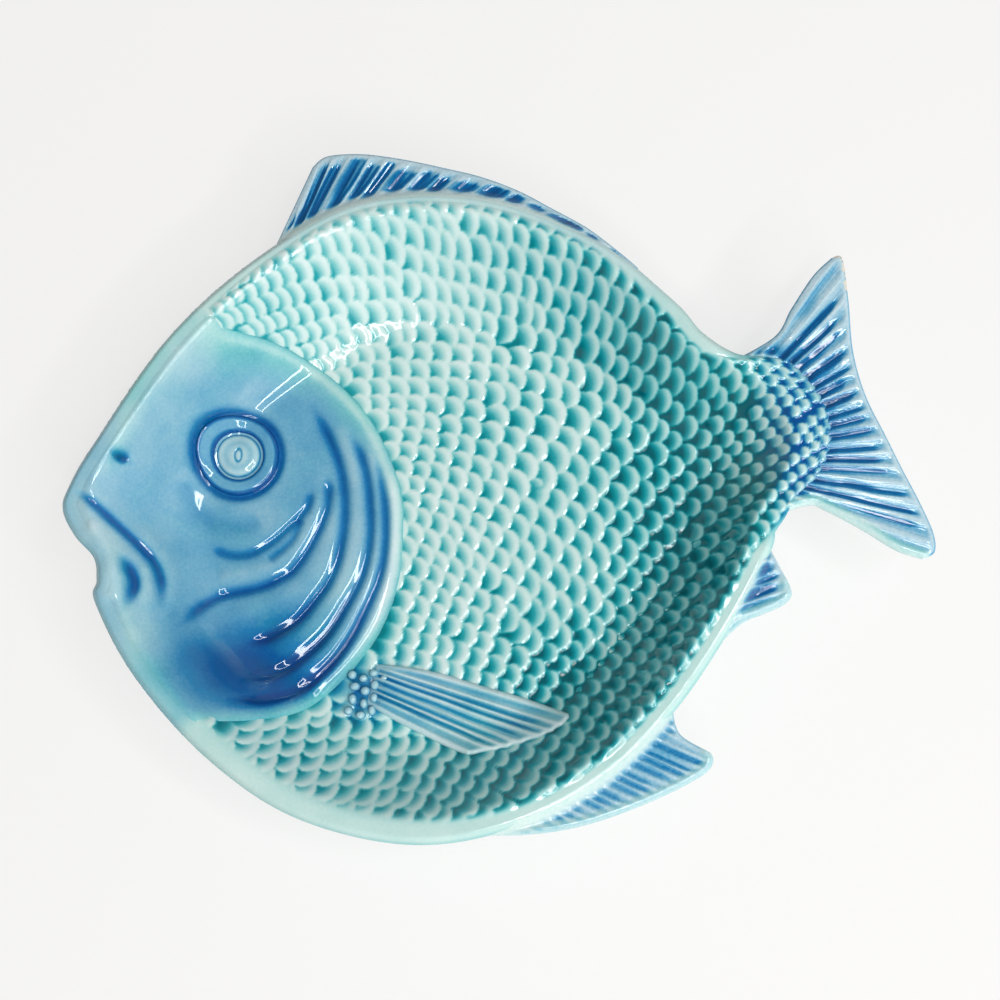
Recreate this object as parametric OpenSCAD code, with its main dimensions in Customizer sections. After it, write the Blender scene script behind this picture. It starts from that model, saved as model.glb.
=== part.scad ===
// Fish shaped platter: a deep glazed bowl with the outline of a fish seen from the side.
// The head points to -X, the back fin to +Y, and the dish stands on its foot ring at Z = 0.
// Raised work (head, eye, scales, side fin) is laid on the bowl, and the outer fins join its rim.

/* [Dish] */
// Length from the snout to the tip of the tail
dish_l = 300; // [270:1:330]
// Width from the back fin to the belly fin
dish_w = 249; // [225:1:275]
// Height of the crown of the rim above the table
rim_z = 47; // [42:0.5:54]
// Thickness of the wall and the floor
wall = 5.5; // [4.5:0.1:6.5]

/* [Rim] */
// Width of the rounded rim
rim_w = 9; // [8:0.1:10.5]
// Drop from the crown of the rim to its outer edge
rim_drop = 3; // [2:0.1:4]
// Drop from the crown of the rim to the top of the inner wall
rim_fall = 2.5; // [2:0.1:3.2]
// Height of the outer side of the rim
rim_side = 3; // [2.5:0.1:4]

/* [Foot] */
// Height of the foot ring
foot_h = 5; // [4.5:0.1:7]
// Width of the foot ring
foot_w = 6; // [4:0.5:9]
// Distance of the foot ring inside the edge of the floor
foot_inset = 6; // [3:0.5:12]

/* [Head] */
// Thickness of the raised head
head_t = 3; // [2.5:0.1:4]
// Thickness of the raised head where it starts beside the rim
head_rim_t = 0.8; // [0.6:0.1:1.5]
// Length over which the head rises from the rim to its full thickness
head_fade = 22; // [12:1:30]
// Width of a gill ridge
gill_w = 6.5; // [4:0.1:7]
// Height of a gill ridge
gill_h = 1.8; // [1:0.1:2.5]
// Width of a fold of the cheek
cheek_w = 5; // [3:0.1:6]
// Height of a fold of the cheek
cheek_h = 1.3; // [0.8:0.1:2]
// Width of a lip
lip_w = 4; // [3:0.1:4.5]
// Height of a lip
lip_h = 1.6; // [1:0.1:2]

/* [Eye] */
// Outer radius of the ring round the eye
eye_ring_r = 15; // [13:0.1:16]
// Inner radius of the ring round the eye
eye_ring_bore_r = 9.3; // [9:0.1:11]
// Height of the ring round the eye
eye_ring_h = 1.8; // [1:0.1:3]
// Radius of the eyeball
eye_ball_r = 8.2; // [6:0.1:8.5]
// Height of the eyeball
eye_ball_h = 3; // [2:0.1:4]

/* [Scales] */
// Width of one scale on the flank
scale_w = 9.5; // [8:0.1:12]
// Width of one scale beside the head
small_scale_w = 7.5; // [6:0.1:9]
// Thickness of the scaled skin at the root of a scale
scale_t = 1.1; // [1:0.05:1.6]
// Step at the free edge of a scale
scale_step = 1.2; // [0.6:0.05:1.8]
// Rows of scales between the gill and the tail
flank_rows = 16; // [12:1:18]
// Rows of scales above and below the head
side_rows = 6; // [4:1:7]

/* [Fins] */
// Thickness of an outer fin where it meets the rim
fin_t = 4.5; // [4:0.1:5.5]
// Thickness of an outer fin at its free edge
fin_edge_t = 2.8; // [2.2:0.1:4]
// Height of the rays on the outer fins
ray_h = 0.9; // [0.4:0.1:1.4]
// Rise of an outer fin from the rim to its free edge
fin_rise = 0.8; // [0:0.1:2]
// Thickness of the side fin
side_fin_t = 2.4; // [1.8:0.1:3.5]
// Height of the rays on the side fin
side_ray_h = 1; // [0.5:0.1:1.5]
// Rays of the back fin
back_rays = 17; // [12:1:20]
// Rays of the tail
tail_rays = 11; // [8:1:14]
// Rays of the small fin beside the tail
vent_rays = 6; // [4:1:8]
// Rays of the belly fin
belly_rays = 9; // [6:1:12]
// Rays of the side fin
side_rays = 8; // [6:1:10]

/* [Hidden] */

// Gap left between pieces that lie on or beside one another
joint_gap = 0.25;
// Points computed between two neighbouring points of a closed outline
outline_steps = 3;
// Thickness left at the border of the scaled skin
scale_border_t = 0.5;
// Lap of the scaled skin over the inner slope of the rim
scale_lap = 1;
// Lap of the raised head over the inner slope of the rim
head_lap = 2;
// Distance between the head and the scales beside it
head_clear = 0.6;
// Height of the blunt ends and edges of ridges
ridge_edge_t = 0.3;
// Radius of the beads at the root of the side fin
bead_r = 2.6;
// Height of the beads at the root of the side fin
bead_h = 1.6;
// Share of a full turn between the corners of the head and the first scales beside them
corner_share = 0.004;

// Height of the floor's upper face
floor_z = foot_h + wall;
// Height of the top of the inner wall
wall_top_z = rim_z - rim_fall;
// Height the inner wall climbs
wall_rise_z = wall_top_z - floor_z;
// Share of the rim's width outside its crown
crown_share = 0.3;
// Middle of the floor, as shares of the dish's length and width
middle_share = [-0.053, -0.036];
middle = sized(middle_share);

// Outer edge of the bowl, counterclockwise from the upper lip, as shares of the dish's length and width
edge_shares = [
    [-0.5, 0.013], [-0.487, -0.026], [-0.466, -0.06], [-0.464, -0.093], [-0.467, -0.124],
    [-0.426, -0.232], [-0.349, -0.353], [-0.252, -0.446], [-0.126, -0.497], [-0.009, -0.489],
    [0.101, -0.436], [0.189, -0.35], [0.268, -0.236], [0.314, -0.152], [0.324, -0.116],
    [0.341, -0.08], [0.371, -0.051], [0.391, -0.007], [0.391, 0.041], [0.374, 0.085],
    [0.344, 0.121], [0.304, 0.133], [0.268, 0.169], [0.238, 0.222], [0.154, 0.326],
    [0.028, 0.406], [-0.116, 0.422], [-0.239, 0.362], [-0.359, 0.254], [-0.459, 0.105],
    [-0.492, 0.045]
];

// Edge of the flat floor, counterclockwise from below the snout
floor_shares = [
    [-0.347, -0.032], [-0.327, -0.112], [-0.28, -0.201], [-0.2, -0.289], [-0.12, -0.329],
    [-0.027, -0.321], [0.067, -0.281], [0.153, -0.201], [0.207, -0.12], [0.23, -0.024],
    [0.167, 0.08], [0.093, 0.169], [0.007, 0.229], [-0.093, 0.249], [-0.267, 0.153], [-0.327, 0.072]
];

// Rear edge of the head, from below its throat up along the gill to the nape
gill_shares = [
    [-0.352, -0.305], [-0.3, -0.305], [-0.255, -0.295], [-0.22, -0.27], [-0.183, -0.233],
    [-0.15, -0.185], [-0.123, -0.116], [-0.113, -0.048], [-0.11, 0.008], [-0.12, 0.064],
    [-0.14, 0.128], [-0.17, 0.181], [-0.2, 0.217], [-0.23, 0.241], [-0.262, 0.254], [-0.295, 0.258]
];
// Places along that edge where the side of the head ends and its nape and throat begin
gill_low_share = 0.24;
gill_high_share = 0.76;

// Ridges over the gill, each from its upper end down
gill_ridge_shares = [
    [[-0.118, 0.04], [-0.121, -0.04], [-0.134, -0.11], [-0.16, -0.177], [-0.193, -0.225], [-0.23, -0.258]],
    [[-0.148, 0.09], [-0.143, 0.03], [-0.145, -0.035], [-0.158, -0.105], [-0.185, -0.165],
        [-0.22, -0.212], [-0.262, -0.238]],
    [[-0.186, 0.13], [-0.17, 0.08], [-0.166, 0.025], [-0.17, -0.035], [-0.184, -0.09],
        [-0.208, -0.14], [-0.242, -0.18], [-0.285, -0.2]],
    [[-0.205, 0.045], [-0.213, -0.012], [-0.23, -0.06], [-0.258, -0.1], [-0.295, -0.12], [-0.335, -0.135]]
];
// Folds of the cheek under the eye
cheek_shares = [
    [[-0.232, 0.015], [-0.245, -0.025], [-0.268, -0.06], [-0.3, -0.08], [-0.34, -0.088], [-0.372, -0.112]],
    [[-0.257, -0.012], [-0.274, -0.034], [-0.302, -0.046], [-0.332, -0.046]]
];
// Lips, each from the snout down
lip_shares = [
    [[-0.455, 0.004], [-0.441, -0.028], [-0.419, -0.068], [-0.411, -0.104], [-0.408, -0.13]],
    [[-0.441, -0.062], [-0.437, -0.085], [-0.435, -0.112], [-0.434, -0.142]]
];
// Middle of the eye
eye_share = [-0.307, 0.094];

// Directions, seen from the middle of the floor, between which each outer fin grows from the rim,
// as shares of a full turn
full_turn = 360;
back_turn_shares = [0.332, 0.1222];
tail_turn_shares = [0.0575, -0.0264];
vent_turn_shares = [-0.0319, -0.0931];
belly_turn_shares = [-0.1306, -0.2444];
// Free edges of the outer fins, each clockwise
back_tip_shares = [
    [-0.174, 0.484], [-0.155, 0.499], [-0.112, 0.496], [-0.062, 0.479], [-0.015, 0.459],
    [0.028, 0.439], [0.071, 0.411], [0.108, 0.379], [0.148, 0.343], [0.184, 0.303], [0.206, 0.276]
];
tail_tip_shares = [
    [0.428, 0.257], [0.441, 0.254], [0.441, 0.19], [0.438, 0.118], [0.445, 0.053], [0.461, -0.007],
    [0.475, -0.059], [0.488, -0.104], [0.499, -0.15], [0.497, -0.176], [0.482, -0.184]
];
vent_tip_shares = [
    [0.33, -0.2], [0.331, -0.215], [0.32, -0.227], [0.298, -0.236], [0.275, -0.244], [0.258, -0.257],
    [0.245, -0.27]
];
belly_tip_shares = [
    [0.219, -0.415], [0.221, -0.426], [0.213, -0.44], [0.191, -0.453], [0.155, -0.469],
    [0.118, -0.482], [0.078, -0.493], [0.038, -0.499], [0, -0.5], [-0.033, -0.499]
];
// Bends of the fins' front and rear edges between the rim and the free edge
belly_front_shares = [[0.184, -0.373], [0.192, -0.392]];
tail_upper_shares = [[0.351, 0.153], [0.374, 0.19], [0.404, 0.234]];
tail_lower_shares = [[0.361, -0.092], [0.384, -0.104], [0.421, -0.136], [0.454, -0.168]];

// Side fin: its root from top to bottom, and its free edge from top to bottom
side_root_shares = [[-0.158, -0.238], [-0.176, -0.29]];
side_tip_shares = [
    [0.067, -0.336], [0.053, -0.351], [0.027, -0.361], [0.01, -0.373], [-0.023, -0.378], [-0.06, -0.382]
];
// Bends of the side fin's upper and lower edges
side_upper_shares = [[-0.127, -0.241], [-0.04, -0.277]];
side_lower_shares = [[-0.143, -0.317], [-0.113, -0.341]];
// Beads at the root of the side fin
bead_shares = [
    [-0.194, -0.262], [-0.182, -0.238], [-0.196, -0.292], [-0.208, -0.317], [-0.187, -0.321],
    [-0.168, -0.333]
];

// Directions between which the scaled skin of the flank runs along the rim, as shares of a full turn
flank_back_shares = [0.2972, 0.05];
flank_belly_shares = [-0.3139, -0.0236];

celadon = [0.72, 0.87, 0.82];
sea_green = [0.35, 0.72, 0.72];
sky_blue = [0.35, 0.6, 0.76];
deep_blue = [0.1, 0.4, 0.65];
bare_clay = [0.86, 0.8, 0.7];

// Turns shares of the dish's length and width into a place
function sized(share) = [share.x * dish_l, share.y * dish_w];
function sized_line(shares) = [for (share = shares) sized(share)];
function between(a, b, t) = a + (b - a) * t;
function smooth(t) = t * t * (3 - 2 * t);
function limited(t) = max(0, min(1, t));
// Rise and fall over a stretch whose two ends are left out by a share of it
function hump(t, end_share) = sin(180 * between(end_share, 1 - end_share, t));
function joined(lists) = [for (list = lists, item = list) item];
function raised(p, z) = [p.x, p.y, z];

// Smooth curve through points: the place at share t of the stretch from b to c
function bend(a, b, c, d, t) =
    (2 * b + (c - a) * t + (2 * a - 5 * b + 4 * c - d) * t * t + (3 * b - a - 3 * c + d) * t * t * t) / 2;
function closed_curve(points, steps) =
    let (n = len(points))
    [for (i = [0 : n - 1], k = [0 : steps - 1])
        bend(points[(i + n - 1) % n], points[i], points[(i + 1) % n], points[(i + 2) % n], k / steps)];
function open_curve(points, steps) =
    let (n = len(points) - 1)
    concat(
        [for (i = [0 : n - 1], k = [0 : steps - 1])
            bend(points[max(0, i - 1)], points[i], points[i + 1], points[min(n, i + 2)], k / steps)],
        [points[n]]);
// Place at share t of an open line, counted in its points
function along(line, t) =
    let (place = limited(t) * (len(line) - 1), i = min(floor(place), len(line) - 2))
    between(line[i], line[i + 1], place - i);
function stretch_of(line, from, to, count) =
    [for (k = [0 : count]) along(line, between(from, to, k / count))];

edge_line = closed_curve(sized_line(edge_shares), outline_steps);
floor_line = closed_curve(sized_line(floor_shares), outline_steps);
gill_line = open_curve(sized_line(gill_shares), outline_steps);

// Distance of an outline from the middle of the floor, listed by direction
function direction(p) = atan2(p.y - middle.y, p.x - middle.x);
function reach_table(line) =
    [for (p = line, turn = [-full_turn, 0, full_turn]) [direction(p) + turn, norm(p - middle)]];
edge_table = reach_table(edge_line);
floor_table = reach_table(floor_line);

// Place in a direction from the middle, at a distance inside the bowl's outer edge
function inside_edge(angle, inset) =
    middle + (lookup(angle, edge_table) - inset) * [cos(angle), sin(angle)];
function rim_stretch(turn_shares, inset, count) =
    [for (k = [0 : count])
        inside_edge(full_turn * between(turn_shares[0], turn_shares[1], k / count), inset)];
function turn_share(p) = direction(p) / full_turn;

// Inner wall: it leaves the floor level and steepens steadily up to the rim
function wall_climb(share) = share * share * (3 - share) / 2;
function wall_slope(share, run) = atan(wall_rise_z / run * (6 * share - 3 * share * share) / 2);
function rim_profile_z(share) =
    rim_z - (share < crown_share
        ? rim_drop * pow((crown_share - share) / crown_share, 2)
        : rim_fall * pow((share - crown_share) / (1 - crown_share), 2));

// Height of the bowl's inner face at a place
function dish_z(p) =
    let (
        angle = direction(p),
        reach = norm(p - middle),
        edge = lookup(angle, edge_table),
        foot = lookup(angle, floor_table),
        top = edge - rim_w)
    reach > top
        ? rim_profile_z(limited((edge - reach) / rim_w))
        : floor_z + wall_rise_z * wall_climb(limited((reach - foot) / (top - foot)));
function on_dish(p, lift) = raised(p, dish_z(p) + joint_gap + lift);

// Height of the raised head's upper face at a place
function rim_distance(p) = lookup(direction(p), edge_table) - norm(p - middle) - rim_w;
function head_thickness(p) = between(head_rim_t, head_t, smooth(limited(rim_distance(p) / head_fade)));
function on_head(p, lift) = on_dish(p, head_thickness(p) + joint_gap + lift);

// Triangles between two neighbouring lines of points, each given as a list of point numbers
function seam(a, b) =
    let (na = len(a) - 1, nb = len(b) - 1)
    concat(
        [for (i = [0 : 1 : na - 1])
            [a[i], a[i + 1], b[max(0, min(nb, ceil(((2 * i + 1) * nb - na) / (2 * na))))]]],
        [for (k = [0 : 1 : nb - 1])
            [a[max(0, min(na, floor(((2 * k + 1) * na - nb) / (2 * nb)) + 1))], b[k + 1], b[k]]]);
function seams(rows) = joined([for (i = [0 : 1 : len(rows) - 2]) seam(rows[i], rows[i + 1])]);
// Point numbers of each line, when all lines are written one after another
function numbered(lines) =
    let (starts = [for (i = 0, s = 0; i < len(lines); s = s + len(lines[i]), i = i + 1) s])
    [for (i = [0 : len(lines) - 1]) [for (k = [0 : len(lines[i]) - 1]) starts[i] + k]];
function first_of(rows) = [for (row = rows) row[0]];
function last_of(rows) = [for (row = rows) row[len(row) - 1]];
function reversed(list) = [for (i = [len(list) - 1 : -1 : 0]) list[i]];

// Closed piece between an upper and a lower set of lines, numbered from left to right of their direction
module laid(upper, lower) {
    lines = concat(upper, lower);
    rows = numbered(lines);
    top = [for (i = [0 : len(upper) - 1]) rows[i]];
    base = [for (i = [len(upper) : len(lines) - 1]) rows[i]];
    polyhedron(
        points = joined(lines),
        faces = concat(
            seams(top),
            seams(reversed(base)),
            seam(first_of(top), first_of(base)),
            seam(last_of(base), last_of(top)),
            seam(base[0], top[0]),
            seam(top[len(top) - 1], base[len(base) - 1])));
}

// Closed piece from loops of points that follow one another over its surface
module looped(loops, is_ring) {
    rows = [for (row = numbered(loops)) len(row) == 1 ? row : concat(row, [row[0]])];
    polyhedron(points = joined(loops), faces = seams(is_ring ? concat(rows, [rows[0]]) : rows));
}

// Place on a patch held by four lines: u runs from front to rear, and v from low to high
function patch_point(patch, u, v) =
    let (front = patch[0], rear = patch[1], low = patch[2], high = patch[3])
    between(along(front, v), along(rear, v), u)
    + between(along(low, u), along(high, u), v)
    - between(
        between(along(front, 0), along(front, 1), v),
        between(along(rear, 0), along(rear, 1), v),
        u);

// Loop of the bowl's inner wall at a share of its climb, and the loop below it on the underside
function wall_loop(share) =
    [for (p = edge_line)
        let (
            angle = direction(p),
            foot = lookup(angle, floor_table),
            reach = between(foot, norm(p - middle) - rim_w, share))
        raised(middle + reach * [cos(angle), sin(angle)], floor_z + wall_rise_z * wall_climb(share))];
function under_loop(share) =
    [for (p = edge_line)
        let (
            angle = direction(p),
            foot = lookup(angle, floor_table),
            top = norm(p - middle) - rim_w,
            lean = wall_slope(share, top - foot),
            reach = between(foot, top, share) + wall * sin(lean))
        raised(
            middle + reach * [cos(angle), sin(angle)],
            floor_z + wall_rise_z * wall_climb(share) - wall * cos(lean))];
function rim_loop(inset, z) =
    [for (p = edge_line)
        let (angle = direction(p))
        raised(middle + (norm(p - middle) - inset) * [cos(angle), sin(angle)], z)];

wall_steps_share = [0, 0.09, 0.18, 0.28, 0.4, 0.54, 0.7, 0.85, 1];
under_steps_share = [1, 0.8, 0.6, 0.42, 0.28, 0.14, 0];
rim_steps_share = [0.82, 0.64, 0.46, 0.3, 0.18, 0.08, 0];

module bowl() {
    color(celadon)
    looped(
        concat(
            [[raised(middle, floor_z)]],
            [for (share = wall_steps_share) wall_loop(share)],
            [for (share = rim_steps_share) rim_loop(rim_w * share, rim_profile_z(share))],
            [rim_loop(0, rim_z - rim_drop - rim_side)],
            [for (share = under_steps_share) under_loop(share)],
            [[raised(middle, foot_h)]]),
        false);
}

// Outline of the floor drawn in by a distance
function floor_inside(inset) =
    [for (p = floor_line) p - inset * (p - middle) / norm(p - middle)];

module foot_ring() {
    color(bare_clay)
    linear_extrude(height = foot_h)
    difference() {
        polygon(floor_inside(foot_inset));
        polygon(floor_inside(foot_inset + foot_w));
    }
}

head_columns = 26;
head_rows = 34;
head_patch =
    let (
        nape = gill_line[len(gill_line) - 1],
        throat = gill_line[0],
        front = rim_stretch([turn_share(throat) + 1, turn_share(nape)], rim_w - head_lap, head_rows))
    [front, gill_line, [front[0], throat], [front[head_rows], nape]];

module head_plate() {
    function head_lines(columns, rows, is_top) =
        [for (i = [0 : columns])
            [for (k = [0 : rows])
                let (p = patch_point(head_patch, i / columns, k / rows))
                on_dish(p, is_top ? head_thickness(p) : 0)]];
    color(sky_blue)
    laid(head_lines(head_columns, head_rows, true), head_lines(head_columns / 2, head_rows / 2, false));
}

// Rounded ridge along a line, tapered to both ends, on the head
ridge_steps = 3;
ridge_end_share = 0.06;
ridge_flank_share = [0.6, 0.75];
module ridge(points, width, height) {
    path = open_curve(points, ridge_steps);
    n = len(path) - 1;
    function swell(i) = pow(hump(i / n, ridge_end_share), 0.6);
    function aside(i, side) =
        let (run = path[min(n, i + 1)] - path[max(0, i - 1)])
        path[i] + [run.y, -run.x] / norm(run) * side * width / 2 * swell(i);
    function ridge_line(side, rise) =
        [for (i = [0 : n])
            on_head(aside(i, side), ridge_edge_t + (height - ridge_edge_t) * rise * swell(i))];
    function base_line(side) = [for (i = [0 : n]) on_head(aside(i, side), 0)];
    laid(
        [
            ridge_line(-1, 0),
            ridge_line(-ridge_flank_share[0], ridge_flank_share[1]),
            ridge_line(0, 1),
            ridge_line(ridge_flank_share[0], ridge_flank_share[1]),
            ridge_line(1, 0)
        ],
        [base_line(-1), base_line(0), base_line(1)]);
}

module gill_ridges() {
    color(sky_blue)
    for (shares = gill_ridge_shares) {
        ridge(sized_line(shares), gill_w, gill_h);
    }
}

module cheek_folds() {
    color(sky_blue)
    for (shares = cheek_shares) {
        ridge(sized_line(shares), cheek_w, cheek_h);
    }
}

module lips() {
    color(sky_blue)
    for (shares = lip_shares) {
        ridge(sized_line(shares), lip_w, lip_h);
    }
}

eye = sized(eye_share);
eye_sides = 36;
function eye_loop(radius, lift) =
    [for (k = [0 : eye_sides - 1])
        let (angle = full_turn * k / eye_sides)
        on_head(eye + radius * [cos(angle), sin(angle)], lift)];

module eye_ring() {
    ring_w = eye_ring_r - eye_ring_bore_r;
    color(deep_blue)
    looped(
        [
            eye_loop(eye_ring_bore_r, ridge_edge_t),
            eye_loop(eye_ring_bore_r + ring_w / 4, eye_ring_h * 3 / 4),
            eye_loop(eye_ring_bore_r + ring_w / 2, eye_ring_h),
            eye_loop(eye_ring_r - ring_w / 4, eye_ring_h * 3 / 4),
            eye_loop(eye_ring_r, ridge_edge_t),
            eye_loop(eye_ring_r, 0),
            eye_loop(eye_ring_bore_r, 0)
        ],
        true);
}

module eyeball() {
    dome_share = [0.25, 0.5, 0.75, 0.92];
    color(celadon)
    looped(
        concat(
            [[on_head(eye, eye_ball_h)]],
            [for (share = dome_share) eye_loop(eye_ball_r * share, eye_ball_h * (1 - pow(share, 3)))],
            [eye_loop(eye_ball_r, ridge_edge_t), eye_loop(eye_ball_r, 0)],
            [[on_head(eye, 0)]]),
        false);
}

// Scaled skin on a patch: tilted rows that end in a scalloped step towards the tail
notch_share = 0.4;
notch_rise_share = 0.3;
riser_share = 0.07;
module scales(patch, rows, width) {
    function row_count(u) =
        max(2, round(norm(patch_point(patch, u, 1) - patch_point(patch, u, 0)) / width));
    // Along a row, each scale has a notch and two shoulders, and every other row is shifted by half a scale
    function row_marks(row) =
        let (n = row_count(row / rows))
        row % 2 == 0
            ? [for (k = [0 : 3 * n]) [k / (3 * n), k % 3 == 0 ? 0 : 1]]
            : concat(
                [[0, 1]],
                [for (k = [2 : 3 * n + 1]) [(k - 1.5) / (3 * n), k % 3 == 0 ? 0 : 1]],
                [[1, 1]]);
    function lift(mark, rise) =
        mark[0] == 0 || mark[0] == 1 ? scale_border_t + rise / 4 : scale_t + rise;
    function row_place(row, mark, beyond) =
        let (back = row == rows ? 0 : notch_share * (1 - mark[1]) - beyond)
        patch_point(patch, (row - back) / rows, mark[0]);
    function crest(row) =
        [for (mark = row_marks(row))
            let (rise = scale_step * between(notch_rise_share, 1, mark[1]))
            on_dish(row_place(row, mark, 0), lift(mark, rise))];
    function trough(row) =
        [for (mark = row_marks(row)) on_dish(row_place(row, mark, riser_share), lift(mark, 0))];
    function base(row) =
        let (n = row_count(row / rows))
        [for (k = [0 : n]) on_dish(patch_point(patch, row / rows, k / n), 0)];
    laid(
        concat(
            [[for (mark = row_marks(2)) on_dish(patch_point(patch, 0, mark[0]), lift(mark, 0))]],
            joined([for (row = [1 : rows]) row == rows ? [crest(row)] : [crest(row), trough(row)]])),
        [for (row = [0 : rows]) base(row)]);
}

scale_inset = rim_w - scale_lap;
// Line in front of the flank's scales, from the belly up, clear of the head
gill_side =
    [for (p = stretch_of(gill_line, gill_low_share, gill_high_share, head_rows)) p + [head_clear, 0]];
flank_low = rim_stretch(flank_belly_shares, scale_inset, flank_rows);
flank_high = rim_stretch(flank_back_shares, scale_inset, flank_rows);
// Share of the way between the gill and the rim left free next to the gill's ends
gill_end_share = 0.1;
flank_front = concat(
    stretch_of([flank_low[0], gill_side[0]], 0, 1 - gill_end_share, side_rows),
    gill_side,
    stretch_of([gill_side[head_rows], flank_high[0]], gill_end_share, 1, side_rows));

module flank_scales() {
    rear = rim_stretch([flank_belly_shares[1], flank_back_shares[1]], scale_inset, flank_rows);
    color(sea_green)
    scales([flank_front, rear, flank_low, flank_high], flank_rows, scale_w);
}

module nape_scales() {
    nape = [for (p = stretch_of(gill_line, gill_high_share, 1, side_rows)) p + [0, head_clear]];
    high = rim_stretch(
        [turn_share(nape[side_rows]) - corner_share, flank_back_shares[0]], scale_inset, side_rows);
    low = reversed(nape);
    color(sea_green)
    scales(
        [[low[0], high[0]], [low[side_rows], high[side_rows] - [head_clear, 0]], low, high],
        side_rows, small_scale_w);
}

module throat_scales() {
    throat = [for (p = stretch_of(gill_line, 0, gill_low_share, side_rows)) p - [0, head_clear]];
    low = rim_stretch(
        [turn_share(throat[0]) + corner_share, flank_belly_shares[0]], scale_inset, side_rows);
    color(sea_green)
    scales(
        [[low[0], throat[0]], [low[side_rows] - [head_clear, 0], throat[side_rows]], low, throat],
        side_rows, small_scale_w);
}

// Ribbed fin on a patch: each ray runs from the root to the free edge, and the faces are functions of place
fin_steps = 5;
ray_end_share = 0.12;
module fin(patch, rays, rib, upper_z, lower_z) {
    function ray_line(k, face_z, rise) =
        [for (i = [0 : fin_steps])
            let (v = i / fin_steps, p = patch_point(patch, k / (2 * rays), v))
            raised(p, face_z(p, v) + rise * hump(v, ray_end_share))];
    laid(
        [for (k = [0 : 2 * rays]) ray_line(k, upper_z, k % 2 == 1 ? rib : 0)],
        [for (k = [0 : rays]) ray_line(2 * k, lower_z, 0)]);
}

// Outer fin that grows level from the rim between two directions
module outer_fin(turn_shares, tip_shares, front_shares, rear_shares, rays) {
    root = rim_stretch(turn_shares, -joint_gap, 2 * rays);
    tip = stretch_of(open_curve(sized_line(tip_shares), outline_steps), 0, 1, 2 * rays);
    last = 2 * rays;
    front = open_curve(concat([root[0]], sized_line(front_shares), [tip[0]]), outline_steps);
    rear = open_curve(concat([root[last]], sized_line(rear_shares), [tip[last]]), outline_steps);
    root_z = rim_z - rim_drop;
    color(deep_blue)
    fin([front, rear, root, tip], rays, ray_h,
        function (p, v) root_z + fin_rise * v,
        function (p, v) root_z + fin_rise * v - between(fin_t, fin_edge_t, v));
}

module back_fin() {
    outer_fin(back_turn_shares, back_tip_shares, [], [], back_rays);
}

module tail_fin() {
    outer_fin(tail_turn_shares, tail_tip_shares, tail_upper_shares, tail_lower_shares, tail_rays);
}

module vent_fin() {
    outer_fin(vent_turn_shares, vent_tip_shares, [], [], vent_rays);
}

module belly_fin() {
    outer_fin(belly_turn_shares, belly_tip_shares, belly_front_shares, [], belly_rays);
}

// Height above the bowl at which the side fin clears the scales
side_fin_lift = scale_t + scale_step + joint_gap;

module side_fin() {
    root = sized_line(side_root_shares);
    tip = open_curve(sized_line(side_tip_shares), outline_steps);
    upper = open_curve(concat([root[0]], sized_line(side_upper_shares), [tip[0]]), outline_steps);
    lower = open_curve(
        concat([root[1]], sized_line(side_lower_shares), [tip[len(tip) - 1]]), outline_steps);
    color(sky_blue)
    fin([upper, lower, root, tip], side_rays, side_ray_h,
        function (p, v) dish_z(p) + side_fin_lift + joint_gap + side_fin_t,
        function (p, v) dish_z(p) + side_fin_lift + joint_gap);
}

module side_fin_beads() {
    bead_sides = 10;
    function bead_loop(p, radius, rise) =
        [for (k = [0 : bead_sides - 1])
            let (angle = full_turn * k / bead_sides)
            on_dish(p + radius * [cos(angle), sin(angle)], side_fin_lift + rise)];
    color(sky_blue)
    for (share = bead_shares) {
        p = sized(share);
        looped(
            [
                [on_dish(p, side_fin_lift + bead_h)],
                bead_loop(p, bead_r * 2 / 3, bead_h * 3 / 4),
                bead_loop(p, bead_r, ridge_edge_t),
                bead_loop(p, bead_r, 0),
                [on_dish(p, side_fin_lift)]
            ],
            false);
    }
}

bowl();
foot_ring();
head_plate();
gill_ridges();
cheek_folds();
lips();
eye_ring();
eyeball();
flank_scales();
nape_scales();
throat_scales();
side_fin();
side_fin_beads();
back_fin();
tail_fin();
vent_fin();
belly_fin();
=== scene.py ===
"""Fish shaped platter: the glazed surfaces of one cast earthenware dish.

The dish is dressed as its own regions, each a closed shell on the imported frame: the bowl with its
rounded rim, the unglazed foot ring, three stretches of scaled skin, the head with its carved lines,
the eye, the side fin with its beads, and four ribbed outer fins. All of them read one relief over
the dish, so that heights and glaze run on from region to region.
"""

import logging
import math
from dataclasses import dataclass, field
from enum import Enum
from typing import Callable

import bpy
import numpy as np
from mathutils import Matrix, Vector


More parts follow.
